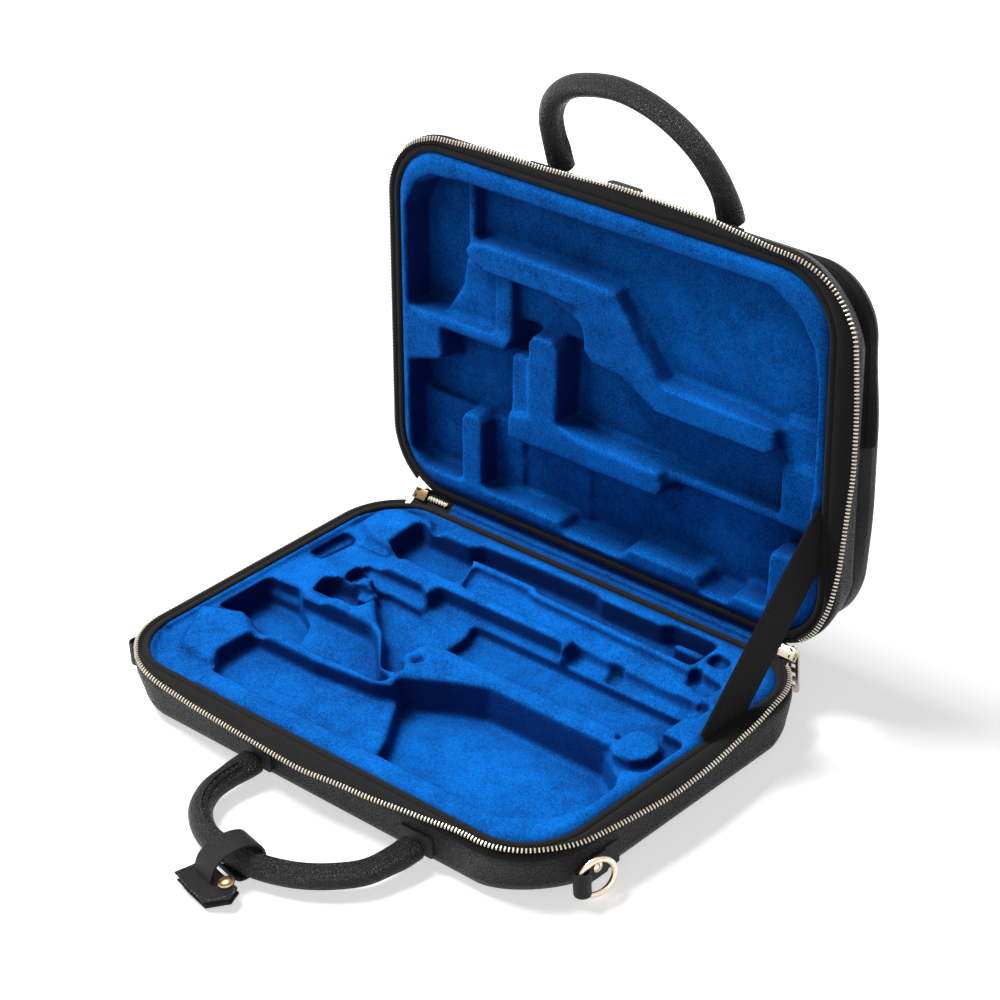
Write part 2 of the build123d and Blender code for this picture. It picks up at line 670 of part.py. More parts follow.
def make_tag():
    """Tag: a strap loop round the handle, and two stacked leather plates with a snap."""
    outer = tag_bore + tag_leather
    reach = outer + tag_stub
    bore = Rot(0, 90, 0) * Cylinder(tag_bore, 2 * tag_loop_width)
    stub = Pos(0, reach / 2, 0) * Box(tag_loop_width, reach, 2 * tag_leather)
    loop = Rot(0, 90, 0) * Cylinder(outer, tag_loop_width) + stub - bore
    half = tag_length / 2
    points = [(half, 0), (-half * 0.8, 0), (-half, tag_depth * 0.4), (-half * 0.5, tag_depth), (half, tag_depth)]
    plate = fillet(make_face(Polyline(*points, close=True)).vertices(), tag_corner)
    plate = Pos(-tag_offset, reach + clear) * plate
    lower = Pos(0, 0, -tag_leather - clear / 2) * extrude(plate, tag_leather)
    upper = Pos(0, 0, clear / 2) * extrude(plate, tag_leather)
    snap = Cylinder(tag_snap_radius, tag_snap_rise, align=(Align.CENTER, Align.CENTER, Align.MIN))
    snap = Pos(-tag_snap_offset, reach + clear + tag_snap_reach, tag_leather + clear / 2) * snap
    return loop, lower, upper, snap


def build():
    """Make every piece in its place."""
    parts["base_cover"] = make_cover(base_height, base_edge_radius, 0)
    parts["base_core"] = make_core(base_height, base_edge_radius, 0)
    parts["base_rim_band"] = make_band(base_height)
    parts["base_tray"] = make_base_tray()
    parts["base_zip_tape"] = make_tape(base_height)
    parts["base_zip_teeth"] = make_teeth(base_height)
    parts["lid_cover"] = on_lid(make_cover(lid_height, lid_edge_radius, lid_lean))
    parts["lid_core"] = on_lid(make_core(lid_height, lid_edge_radius, lid_lean))
    parts["lid_rim_band"] = on_lid(make_band(lid_height))
    parts["lid_tray"] = on_lid(make_lid_tray())
    parts["lid_zip_tape"] = on_lid(make_tape(lid_height))
    parts["lid_zip_teeth"] = on_lid(make_teeth(lid_height))
    parts["hinge_strip"], parts["velvet_crease"] = make_hinge_strips()
    for name, side in (("left", -1), ("right", 1)):
        parts[f"zip_slider_{name}"] = make_slider(side)
        parts[f"zip_pull_{name}"] = place_pull(side)
        parts[f"zip_joined_teeth_{name}"] = make_joined_chain(side)
        mount, rivet = make_ring_mount(side)
        parts[f"ring_tab_{name}"] = mount
        parts[f"ring_rivet_{name}"] = rivet
        parts[f"strap_ring_{name}"] = make_ring(side)
        reach = side * handle_radius
        patch = make_patch(base_handle_centre + reach, base_height - band_height, 0)
        parts[f"base_handle_patch_{name}"] = patch
        patch = make_patch(-lid_handle_centre - reach, lid_hip, lid_lean)
        parts[f"lid_handle_patch_{name}"] = on_lid(patch)
    parts["base_handle"] = base_handle_frame() * make_handle()
    parts["lid_handle"] = on_lid(lid_handle_frame() * make_handle())
    parts["stay_strap"] = make_strap()
    panel, zip_gusset, plain_gusset, coil = make_pocket()
    parts["pocket_panel"] = on_lid(panel)
    parts["pocket_zip_gusset"] = on_lid(zip_gusset)
    parts["pocket_plain_gusset"] = on_lid(plain_gusset)
    parts["pocket_zip_coil"] = on_lid(coil)
    parts["pocket_slider"] = on_lid(make_pocket_slider())
    parts["pocket_pull"] = on_lid(make_pocket_pull())
    loop, lower, upper, snap = make_tag()
    frame = tag_frame()
    parts["tag_loop"] = frame * loop
    parts["tag_plate_lower"] = frame * lower
    parts["tag_plate_upper"] = frame * upper
    parts["tag_snap"] = frame * snap


build()
os.makedirs("parts", exist_ok=True)
for node, shape in parts.items():
    export_step(shape, f"parts/{node}.step")
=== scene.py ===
import json
import math

import bpy
import numpy as np
from mathutils import Matrix, Vector

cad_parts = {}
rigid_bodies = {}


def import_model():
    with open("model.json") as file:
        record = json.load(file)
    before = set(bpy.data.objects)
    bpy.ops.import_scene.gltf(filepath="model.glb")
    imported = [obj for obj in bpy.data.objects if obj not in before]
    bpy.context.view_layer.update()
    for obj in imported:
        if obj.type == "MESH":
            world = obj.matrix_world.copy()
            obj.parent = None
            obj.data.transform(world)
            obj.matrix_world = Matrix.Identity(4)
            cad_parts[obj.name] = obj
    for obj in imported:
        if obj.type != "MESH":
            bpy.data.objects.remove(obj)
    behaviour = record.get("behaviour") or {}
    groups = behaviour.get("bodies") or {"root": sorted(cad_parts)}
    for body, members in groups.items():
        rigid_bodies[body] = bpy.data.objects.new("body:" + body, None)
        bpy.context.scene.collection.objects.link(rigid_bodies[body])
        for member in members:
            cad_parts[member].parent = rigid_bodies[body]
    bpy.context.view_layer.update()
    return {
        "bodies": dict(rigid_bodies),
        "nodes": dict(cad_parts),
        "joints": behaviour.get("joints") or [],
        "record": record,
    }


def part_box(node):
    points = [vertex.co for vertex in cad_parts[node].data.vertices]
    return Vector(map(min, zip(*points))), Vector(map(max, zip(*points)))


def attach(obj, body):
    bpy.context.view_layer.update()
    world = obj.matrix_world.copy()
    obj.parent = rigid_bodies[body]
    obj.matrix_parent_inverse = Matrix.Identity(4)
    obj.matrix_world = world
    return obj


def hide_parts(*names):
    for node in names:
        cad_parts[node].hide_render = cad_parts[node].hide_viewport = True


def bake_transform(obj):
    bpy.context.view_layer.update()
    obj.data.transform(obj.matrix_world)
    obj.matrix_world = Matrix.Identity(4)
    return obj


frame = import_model()
cadNodes = frame["nodes"]

# Metres, Z up, X along the hinge, -Y towards the front. The lid has its own frame, and opens up in it too.

camera = {
    "azimuth": 0.785,
    "elevation": 0.5228,
    "roll": -0.061266,
    "distance": 1.71385,
    "target": (-0.078107, 0.119, 0.049551),
    "lens": 105.741,
}


def addObject(name, data):
    obj = bpy.data.objects.new(name, data)
    bpy.context.scene.collection.objects.link(obj)
    return obj


def makeCamera():
    az, el, roll = camera["azimuth"], camera["elevation"], camera["roll"]
    back = Vector((math.sin(az) * math.cos(el), -math.cos(az) * math.cos(el), math.sin(el)))
    right = Vector((math.cos(az), math.sin(az), 0))
    turn = Matrix((right, back.cross(right), back)).transposed().to_4x4() @ Matrix.Rotation(roll, 4, "Z")
    data = bpy.data.cameras.new("camera")
    data.lens = camera["lens"]
    data.sensor_width = 36
    data.clip_end = 20
    obj = addObject("camera", data)
    obj.matrix_world = Matrix.Translation(Vector(camera["target"]) + back * camera["distance"]) @ turn
    bpy.context.scene.camera = obj


makeCamera()
print("camera placed")

shell = {
    "halfLength": 0.1635,
    "halfDepth": 0.1145,
    "corner": 0.0425,
    "baseRim": 0.029,
    "lidRim": 0.024,
    "hip": 0.021,         # top of the lid's leather
    "lean": 10 / 21,      # how far the lid's front wall goes in, by how far it goes down
    "openAngle": math.radians(94),
    "hinge": (0, 0.1145, 0.0335),
    "halfGap": 0.0045,    # hinge line above each rim
}

lidUp = Vector((0, -math.cos(shell["openAngle"]), math.sin(shell["openAngle"])))
lidOut = Vector((0, -math.sin(shell["openAngle"]), -math.cos(shell["openAngle"])))
lidTurn = Matrix(((-1, 0, 0), -lidUp, lidOut)).transposed().to_4x4()
lidDepth = shell["lidRim"] + shell["halfGap"]
lidMiddle = Vector(shell["hinge"]) + lidUp * shell["halfDepth"] - lidOut * lidDepth
lidFrame = Matrix.Translation(lidMiddle) @ lidTurn

# middle of the shell's rounded corner at the right and rear
cornerX = shell["halfLength"] - shell["corner"]
cornerY = shell["halfDepth"] - shell["corner"]

# cover and core are the heights of the leather and of the board inside it
halves = {
    "base": {"frame": Matrix.Identity(4), "rim": shell["baseRim"], "lean": 0.0, "cover": 0.0262,
             "core": 0.0254},
    "lid": {"frame": lidFrame, "rim": shell["lidRim"], "lean": shell["lean"], "cover": 0.0212,
            "core": 0.0204},
}


# Ways to shape a mesh

def clearSelection():
    if bpy.context.mode != "OBJECT":
        bpy.ops.object.mode_set(mode="OBJECT")
    bpy.ops.object.select_all(action="DESELECT")


def makeActive(obj):
    clearSelection()
    obj.select_set(True)
    bpy.context.view_layer.objects.active = obj


def applyModifier(obj, kind, **settings):
    modifier = obj.modifiers.new(kind.lower(), kind)
    for key, value in settings.items():
        setattr(modifier, key, value)
    makeActive(obj)
    bpy.ops.object.modifier_apply(modifier=modifier.name)


def smooth(obj, angle=40):
    makeActive(obj)
    bpy.ops.object.shade_smooth_by_angle(angle=math.radians(angle))


def editAll(obj):
    makeActive(obj)
    bpy.ops.object.mode_set(mode="EDIT")
    bpy.ops.mesh.select_all(action="SELECT")


def leaveEdit():
    bpy.ops.object.mode_set(mode="OBJECT")


def turnOutside():
    bpy.ops.mesh.select_all(action="SELECT")
    bpy.ops.mesh.normals_make_consistent(inside=False)


def mergeDoubles(obj, distance=0.00002, outside=True):
    editAll(obj)
    bpy.ops.mesh.remove_doubles(threshold=distance)
    if outside:
        turnOutside()
    leaveEdit()


# joins the seam of a swept tube and closes its ends
def closeTube(obj):
    mergeDoubles(obj)
    editAll(obj)
    bpy.ops.mesh.fill_holes(sides=0)
    turnOutside()
    leaveEdit()


def roundEdges(obj, width, segments):
    applyModifier(obj, "BEVEL", width=width, segments=segments, limit_method="ANGLE",
                  angle_limit=math.radians(40))


def join(pieces):
    clearSelection()
    for piece in pieces:
        piece.select_set(True)
    bpy.context.view_layer.objects.active = pieces[0]
    bpy.ops.object.join()
    return pieces[0]


def copyPiece(obj, matrix):
    copy = addObject("copy", obj.data.copy())
    copy.data.transform(matrix)
    return copy


def dropPiece(obj):
    bpy.data.objects.remove(obj)


# names a piece, moves its mesh into place, gives it its material and body, and hides the given CAD node
def finish(obj, name, body, material, node=None, frame=None):
    obj.name = name
    obj.data.name = name
    if frame is not None:
        obj.data.transform(frame)
    obj.data.materials.clear()
    obj.data.materials.append(material)
    if body:
        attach(obj, body)
    if node:
        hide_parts(node)
    return obj


def paint(node, material):
    slots = cadNodes[node].material_slots
    if len(slots):
        for place in slots:
            place.material = material
    else:
        cadNodes[node].data.materials.append(material)


# distance along a line of points
def runAlong(line):
    return np.concatenate([[0], np.cumsum(np.linalg.norm(np.diff(line, axis=0), axis=1))])


# rows[i][j] are points; the UV map holds the distances along and across, in metres
def gridPiece(rows, along=None, across=None):
    rows = np.array(rows, float)
    n, m = rows.shape[:2]
    clearSelection()
    bpy.ops.mesh.primitive_grid_add(x_subdivisions=m - 1, y_subdivisions=n - 1, size=1)
    obj = bpy.context.active_object
    obj.data.vertices.foreach_set("co", rows.reshape(-1))
    if along is None:
        along = runAlong(rows[:, 0])
    if across is None:
        across = runAlong(rows[n // 2])
    index = np.zeros(len(obj.data.loops), int)
    obj.data.loops.foreach_get("vertex_index", index)
    uv = np.stack([np.array(along)[index // m], np.array(across)[index % m]], axis=1)
    layer = obj.data.uv_layers.active or obj.data.uv_layers.new(name="UVMap")
    layer.data.foreach_set("uv", uv.reshape(-1))
    obj.data.update()
    return obj


def points(obj):
    co = np.zeros(len(obj.data.vertices) * 3)
    obj.data.vertices.foreach_get("co", co)
    return co.reshape(-1, 3)


def setPoints(obj, co):
    obj.data.vertices.foreach_set("co", np.asarray(co, float).reshape(-1))
    obj.data.update()


def ease(value, low, high):
    t = np.clip((value - low) / (high - low), 0, 1)
    return t * t * (3 - 2 * t)


def arc(radius, degrees):
    return [(radius * math.cos(math.radians(a)), radius * math.sin(math.radians(a))) for a in degrees]


# a smooth line through the given places, evenly spaced
def softLine(places, count):
    p = np.array(places, float)
    p = np.vstack([2 * p[0] - p[1], p, 2 * p[-1] - p[-2]])
    dense = []
    for k in range(1, len(p) - 2):
        for t in np.linspace(0, 1, 16, endpoint=False):
            dense.append(0.5 * (2 * p[k] + (p[k + 1] - p[k - 1]) * t
                                + (2 * p[k - 1] - 5 * p[k] + 4 * p[k + 1] - p[k + 2]) * t**2
                                + (3 * p[k] - p[k - 1] - 3 * p[k + 1] + p[k + 2]) * t**3))
    dense = np.array(dense + [p[-2]])
    run = runAlong(dense)
    s = np.linspace(0, run[-1], count)
    return np.stack([np.interp(s, run, dense[:, k]) for k in range(p.shape[1])], axis=1)


# a strap: the section (across, out) is carried along the line, and side is its direction across
def sweepStrap(line, side, section):
    side = Vector(side)
    rows = []
    for k, place in enumerate(line):
        ahead = Vector(line[min(k + 1, len(line) - 1)]) - Vector(line[max(k - 1, 0)])
        out = ahead.cross(side).normalized()
        rows.append([Vector(place) + side * across + out * rise for across, rise in section + section[:1]])
    obj = gridPiece(rows)
    closeTube(obj)
    return obj


def thicken(obj, thickness, offset=0.0):
    applyModifier(obj, "SOLIDIFY", thickness=thickness, offset=offset)
    mergeDoubles(obj)
    smooth(obj, 50)


def copyNode(node):
    obj = addObject("copy", cadNodes[node].data.copy())
    mergeDoubles(obj, 0.00001, outside=False)
    return obj


# a merged copy of a CAD node with rounded edges
def softenNode(node, body, material, width, segments=2):
    obj = copyNode(node)
    editAll(obj)
    bpy.ops.mesh.dissolve_limited(angle_limit=math.radians(2))
    leaveEdit()
    roundEdges(obj, width, segments)
    smooth(obj)
    finish(obj, node + "Shaped", body, material, node)


threadLook = {"thick": 0.00030, "sides": 6, "share": 0.62}    # share of the pitch that a stitch fills


# stitches along a line, each a short thread that lies on the surface
def sewRow(name, line, pitch, body):
    line = np.array([list(p) for p in line], float)
    run = runAlong(line)
    clearSelection()
    bpy.ops.mesh.primitive_cylinder_add(vertices=threadLook["sides"], radius=threadLook["thick"],
                                        depth=pitch * threadLook["share"])
    thread = bpy.context.active_object
    stitches = []
    for s in np.arange(pitch / 2, run[-1], pitch):
        before, place, after = [Vector([np.interp(s + pitch * shift, run, line[:, k]) for k in range(3)])
                                for shift in (-0.3, 0, 0.3)]
        turn = (after - before).to_track_quat("Z", "Y").to_matrix().to_4x4()
        stitches.append(copyPiece(thread, Matrix.Translation(place) @ turn))
    dropPiece(thread)
    row = join(stitches)
    smooth(row, 60)
    finish(row, name, body, waxThread)


# x, y, outward x, outward y and distance along the shell's outline, clockwise from the hinge's middle,
# or from x = reach round the front to x = -reach
def shellPath(step, reach=None):
    corner = shell["corner"]
    dense = [(0.0, cornerY + corner, 0.0, 1.0)]
    for sx, sy, first in ((1, 1, 90), (1, -1, 0), (-1, -1, -90), (-1, 1, -180)):
        for nx, ny in arc(1, first - np.linspace(0, 90, 61)):
            dense.append((sx * cornerX + corner * nx, sy * cornerY + corner * ny, nx, ny))
    dense = np.array(dense + dense[:1])
    run = runAlong(dense[:, :2])
    start, end = 0.0, run[-1]
    if reach is not None:
        start = cornerX + corner * math.asin((reach - cornerX) / corner)
        end = run[-1] - start
    s = np.linspace(start, end, int(round((end - start) / step)) + 1)
    path = [np.interp(s, run, dense[:, k]) for k in range(4)]
    length = np.hypot(path[2], path[3])
    path[2] /= length
    path[3] /= length
    return np.stack(path + [s - s[0]], axis=1)


# the shell's outline at one inset and height; a lean moves the front wall towards the hinge below the hip
def shellColumn(path, inset, z, lean=0.0):
    front = ease(-path[:, 1], 0.0, cornerY)
    x = path[:, 0] - path[:, 2] * inset
    y = path[:, 1] - path[:, 3] * inset + front * lean * (shell["hip"] - z)
    return np.stack([x, y, np.full(len(path), z)], axis=1)


# distance inside the shell's outline, at points of a shell's own frame
def insetOf(co):
    dx = np.abs(co[:, 0]) - cornerX
    dy = np.abs(co[:, 1]) - cornerY
    away = np.hypot(np.maximum(dx, 0), np.maximum(dy, 0)) + np.minimum(np.maximum(dx, dy), 0)
    return shell["corner"] - away


# Effects that several materials share

socketKinds = {1: "NodeSocketFloat", 3: "NodeSocketVector", 4: "NodeSocketColor"}


# each output and input is given with its number of channels
def newGroup(name, outputs, **inputs):
    group = bpy.data.node_groups.new(name, "ShaderNodeTree")
    for way, sockets in (("INPUT", inputs), ("OUTPUT", outputs)):
        for label, size in sockets.items():
            label = label.replace("_", " ")
            group.interface.new_socket(name=label, in_out=way, socket_type=socketKinds[size])
    return Tree(group), group.nodes.new("NodeGroupInput").outputs, group.nodes.new("NodeGroupOutput")


class Tree:
    def __init__(self, tree):
        self.tree = tree

    def add(self, kind, **settings):
        node = self.tree.nodes.new(kind)
        for key, value in settings.items():
            setattr(node, key, value)
        return node

    def link(self, source, target):
        self.tree.links.new(source, target)

    def feed(self, target, value):
        if isinstance(value, bpy.types.NodeSocket):
            self.link(value, target)
        else:
            target.default_value = value

    def set(self, node, **values):
        for label, value in values.items():
            self.feed(node.inputs[label.replace("_", " ")], value)
        return node.outputs

    def place(self, kind, **values):
        return self.set(self.add(kind), **values)

    def placeGroup(self, group, **values):
        return self.set(self.add("ShaderNodeGroup", node_tree=group), **values)

    def noise(self, vector, scale, detail=3.0, rough=0.55):
        return self.place("ShaderNodeTexNoise", Vector=vector, Scale=scale, Detail=detail,
                          Roughness=rough)["Fac"]

    # grains with a crease of the given width between them
    def grains(self, vector, scale, crease):
        node = self.add("ShaderNodeTexVoronoi", feature="DISTANCE_TO_EDGE")
        return self.range(self.set(node, Vector=vector, Scale=scale)["Distance"], 0.0, crease)

    def math(self, kind, a, b=0.0):
        node = self.add("ShaderNodeMath", operation=kind)
        self.feed(node.inputs[0], a)
        self.feed(node.inputs[1], b)
        return node.outputs[0]

    def times(self, a, b):
        return self.math("MULTIPLY", a, b)

    # the sum of value * share over the pairs
    def weigh(self, *parts):
        total = self.times(*parts[0])
        for part in parts[1:]:
            total = self.math("ADD", total, self.times(*part))
        return total

    def vector(self, kind, a, b=None):
        node = self.add("ShaderNodeVectorMath", operation=kind)
        self.link(a, node.inputs[0])
        if b is not None:
            self.feed(node.inputs["Scale" if kind == "SCALE" else 1], b)
        return node.outputs["Value" if kind in ("LENGTH", "DOT_PRODUCT") else "Vector"]

    def range(self, value, low, high, outLow=0.0, outHigh=1.0, kind="SMOOTHSTEP"):
        node = self.add("ShaderNodeMapRange", interpolation_type=kind)
        self.set(node, Value=value, From_Min=low, From_Max=high, To_Min=outLow, To_Max=outHigh)
        return node.outputs["Result"]

    def mix(self, factor, a, b):
        node = self.add("ShaderNodeMix", data_type="RGBA")
        self.feed(node.inputs["Factor"], factor)
        self.feed(node.inputs[6], a)
        self.feed(node.inputs[7], b)
        return node.outputs[2]

    def bump(self, height, strength, distance):
        return self.place("ShaderNodeBump", Height=height, Strength=strength, Distance=distance)["Normal"]


# pebbled hide: rounded grains of uneven size with fine creases between them
def makePebbleGroup():
    t, inside, outside = newGroup(
        "pebbledHide", {"Color": 4, "Roughness": 1, "Height": 1}, Vector=3, Grain_Scale=1, Crease=4, Grain=4,
        Wear=1)
    vector, scale = inside["Vector"], inside["Grain Scale"]
    wander = t.place("ShaderNodeTexNoise", Vector=vector, Scale=t.times(scale, 0.35))["Color"]
    moved = t.vector("ADD", vector, t.vector("SCALE", wander, t.math("DIVIDE", 0.55, scale)))
    grain = t.grains(moved, scale, 0.22)
    small = t.grains(moved, t.times(scale, 2.3), 0.2)
    fine = t.noise(vector, t.times(scale, 4.0), 2.0)
    broad = t.noise(vector, 28.0, 4.0)
    shade = t.times(t.weigh((grain, 0.7), (small, 0.3)), t.range(broad, 0.25, 0.75, 0.75, 1.1))
    worn = t.times(t.range(broad, 0.4, 0.7), inside["Wear"])
    t.set(outside, Color=t.mix(shade, inside["Crease"], inside["Grain"]),
          Roughness=t.math("SUBTRACT", t.range(grain, 0.0, 1.0, 0.60, 0.34), t.times(worn, 0.2)),
          Height=t.weigh((grain, 0.75), (small, 0.2), (fine, 0.12)))
    return t.tree


# velvet pile: brushed patches, soft mottling and single tufts, with painted shade in hollows
# and painted light and shade by how the surface faces a given light direction
def makePileGroup():
    t, inside, outside = newGroup(
        "velvetPileAndPaintedLight", {"Color": 4, "Height": 1}, Vector=3, Deep=4, Bright=4, Brushing=1, Normal=3, Nap=3)
    vector, brushing = inside["Vector"], inside["Brushing"]
    broad = t.noise(vector, 20.0, 4.0, 0.6)
    patch = t.noise(vector, 70.0, 3.0, 0.6)
    tuft = t.noise(vector, 1900.0, 2.0, 0.75)
    clump = t.noise(vector, 800.0, 3.0, 0.7)
    brushed = t.weigh((t.range(broad, 0.32, 0.68), 0.5), (t.range(patch, 0.3, 0.7), 0.5))
    speckle = t.weigh((t.range(tuft, 0.42, 0.60), 0.6), (t.range(clump, 0.40, 0.62), 0.4))
    level = t.weigh((brushed, brushing), (speckle, t.math("SUBTRACT", 1.0, brushing)))
    # painted light and shade: lighter where the surface faces the given light direction, darker where it
    # turns away
    facing = t.vector("DOT_PRODUCT", inside["Normal"], inside["Nap"])
    level = t.times(level, t.range(facing, -0.35, 0.85, 0.06, 1.15))
    # painted shade: darker in hollows, from an ambient occlusion mask
    paintedHollowShade = t.set(t.add("ShaderNodeAmbientOcclusion", samples=6), Distance=0.034)["AO"]
    level = t.times(level, t.range(paintedHollowShade, 0.45, 0.98, 0.12, 1.1))
    t.set(outside, Color=t.mix(level, inside["Deep"], inside["Bright"]),
          Height=t.weigh((clump, 0.5), (tuft, 0.5)))
    return t.tree


# woven cloth: ribs that lean one way, then the other, with fine threads; the vector is in metres
def makeTwillGroup():
    t, inside, outside = newGroup(
        "wovenCloth", {"Color": 4, "Height": 1}, Vector=3, Rib=1, Zigzag=1, Thread=4, Gap=4)
    split = t.place("ShaderNodeSeparateXYZ", Vector=inside["Vector"])
    along = t.math("DIVIDE", split["X"], inside["Rib"])
    across = t.math("DIVIDE", split["Y"], inside["Rib"])
    zigzag = t.math("PINGPONG", across, inside["Zigzag"])
    rib = t.range(t.math("SINE", t.times(t.math("ADD", along, zigzag), 6.283)), -1.0, 1.0)
    strand = t.range(t.math("SINE", t.times(across, 12.0)), -1.0, 1.0)
    height = t.weigh((rib, 0.7), (strand, 0.3))
    fuzz = t.noise(inside["Vector"], 2500.0, 2.0)
    shade = t.times(height, t.range(fuzz, 0.2, 0.8, 0.6, 1.1))
    t.set(outside, Color=t.mix(shade, inside["Gap"], inside["Thread"]), Height=height)
    return t.tree


# plated metal: faint mottling, small scratches and duller patches
def makeMetalGroup():
    t, inside, outside = newGroup(
        "platedMetal", {"Color": 4, "Roughness": 1, "Height": 1}, Vector=3, Plate=4, Dull=4, Polish=1)
    vector = inside["Vector"]
    broad = t.noise(vector, 120.0, 4.0, 0.6)
    stretched = t.place("ShaderNodeMapping", Vector=vector, Scale=(300, 2600, 900))["Vector"]
    t.set(outside, Color=t.mix(t.range(broad, 0.45, 0.8, 0.0, 0.7), inside["Plate"], inside["Dull"]),
          Roughness=t.math("ADD", inside["Polish"], t.range(broad, 0.3, 0.8, 0.0, 0.16)),
          Height=t.noise(stretched, 1.0, 3.0, 0.6))
    return t.tree


pebbleGroup = makePebbleGroup()
pileGroup = makePileGroup()
twillGroup = makeTwillGroup()
metalGroup = makeMetalGroup()


def newMaterial(name):
    material = bpy.data.materials.new(name)
    material.use_nodes = True
    t = Tree(material.node_tree)
    return material, t, material.node_tree.nodes["Principled BSDF"], t.add("ShaderNodeTexCoord").outputs


leatherLook = {
    "body": {"Grain_Scale": 620.0, "Crease": (0.0015, 0.0015, 0.002, 1), "Grain": (0.024, 0.024, 0.026, 1),
             "Wear": 0.5},
    "handle": {"Grain_Scale": 620.0, "Crease": (0.001, 0.001, 0.0015, 1), "Grain": (0.012, 0.012, 0.014, 1),
               "Wear": 0.6},
    "smooth": {"Grain_Scale": 1200.0, "Crease": (0.002, 0.002, 0.0025, 1), "Grain": (0.011, 0.011, 0.013, 1),
               "Wear": 0.5},
}


def makeLeather(name, look, bump, specular):
    material, t, shader, where = newMaterial(name)
    hide = t.placeGroup(pebbleGroup, Vector=where["Object"], **look)
    t.set(shader, Base_Color=hide["Color"], Roughness=hide["Roughness"], Specular_IOR_Level=specular,
          Normal=t.bump(hide["Height"], bump, 0.0016))
    return material


def makeVelvet(name, paintedLightFrom, **look):
    material, t, shader, where = newMaterial(name)
    pile = t.placeGroup(pileGroup, Vector=where["Object"], Normal=where["Normal"], Nap=paintedLightFrom, **look)
    t.set(shader, Base_Color=pile["Color"], Normal=t.bump(pile["Height"], 0.5, 0.0008), Roughness=0.9,
          Specular_IOR_Level=0.1, Sheen_Weight=0.6, Sheen_Roughness=0.30, Sheen_Tint=(0.0, 0.25, 1.0, 1))
    return material


def makeCloth(name, rib, zigzag, thread, gap, bump):
    material, t, shader, where = newMaterial(name)
    weave = t.placeGroup(twillGroup, Vector=where["UV"], Rib=rib, Zigzag=zigzag, Thread=thread, Gap=gap)
    t.set(shader, Base_Color=weave["Color"], Normal=t.bump(weave["Height"], bump, 0.0003), Roughness=0.8,
          Specular_IOR_Level=0.10, Sheen_Weight=0.05, Sheen_Roughness=0.5)
    return material


def makeMetal(name, plate, dull, polish):
    material, t, shader, where = newMaterial(name)
    metal = t.placeGroup(metalGroup, Vector=where["Object"], Plate=plate, Dull=dull, Polish=polish)
    t.set(shader, Base_Color=metal["Color"], Roughness=metal["Roughness"], Metallic=1.0,
          Normal=t.bump(metal["Height"], 0.08, 0.0001))
    return material


# foam board of the hidden stiffeners
def makeBoard():
    material, t, shader, where = newMaterial("stiffBoard")
    grain = t.noise(where["Object"], 900.0, 3.0)
    t.set(shader, Base_Color=t.mix(grain, (0.03, 0.03, 0.03, 1), (0.07, 0.07, 0.07, 1)), Roughness=0.9)
    return material


leather = makeLeather("pebbledLeather", leatherLook["body"], 1.0, 0.34)
handleLeather = makeLeather("handleLeather", leatherLook["handle"], 1.0, 0.42)
smoothLeather = makeLeather("smoothLeather", leatherLook["smooth"], 0.7, 0.36)
waxThread = makeLeather("waxedThread", leatherLook["smooth"], 0.2, 0.6)
velvetLook = {"Deep": (0.0, 0.012, 0.090, 1), "Bright": (0.0, 0.215, 0.86, 1), "Brushing": 0.35}
# the third value is the direction of the painted light and shade; the lid's copy differs only in it, turned
# for the lid's faces
velvet = makeVelvet("blueVelvet", (-0.50, 0.15, 0.85), **velvetLook)
lidVelvet = makeVelvet("lidBlueVelvet", (-0.36, -0.48, 0.80), **velvetLook)
bandCloth = makeCloth("bandCloth", 0.0009, 2.0, (0.024, 0.022, 0.021, 1), (0.007, 0.007, 0.007, 1), 0.5)
tapeCloth = makeCloth("tapeCloth", 0.0013, 2.2, (0.026, 0.024, 0.023, 1), (0.006, 0.006, 0.006, 1), 0.8)
webbing = makeCloth("strapWebbing", 0.0016, 0.5, (0.013, 0.013, 0.014, 1), (0.002, 0.002, 0.002, 1), 1.0)
nylon = makeCloth("blackNylon", 0.0011, 1.0, (0.016, 0.016, 0.017, 1), (0.005, 0.005, 0.005, 1), 0.8)
coilNylon = makeCloth("coilNylon", 0.0012, 50.0, (0.022, 0.022, 0.023, 1), (0.003, 0.003, 0.003, 1), 1.0)
paleGold = makeMetal("paleGold", (0.90, 0.74, 0.58, 1), (0.74, 0.58, 0.42, 1), 0.14)
zipGold = makeMetal("zipGold", (0.66, 0.59, 0.48, 1), (0.40, 0.34, 0.25, 1), 0.24)
# darker metal as painted shade: the left slider is the same metal as the right one but darker, and the tag's
# snap sits in the band's hollow
paintedShadeMetal = makeMetal("darkMetalPaintedShade", (0.24, 0.155, 0.08, 1), (0.10, 0.065, 0.035, 1), 0.28)
board = makeBoard()
print("materials made")


# Trays: a merged copy of the CAD tray is remeshed into soft padded velvet

trayLook = {
    "voxel": 0.0016,
    "softening": 3,
    "padded": (0.0005, 0.0035),    # heights over the rim between which the padding starts
    "rimFall": 0.0024,             # how far the padding drops beside the band
    "rimEase": (0.006, 0.0145),    # insets from the shell's outline between which that drop ends
    "pads": [
        [(-0.1315, -0.0829), (-0.1494, -0.0520), (-0.1267, -0.0421), (-0.1081, -0.0538), (-0.1058, -0.0858)],
        [(-0.1454, 0.0728), (-0.1462, 0.0945), (-0.1150, 0.0966), (-0.0971, 0.0743), (-0.1179, 0.0580)]],
    "padEase": 0.0035,
    "ledgeFall": 0.0042,           # how far the ledge lies below the two left pads
    "ledgeFrom": (0.094, 0.108),
    "ledgeInset": (0.009, 0.012),
    "softPart": (-0.084, -0.017, -0.0435, 0.0215),
}


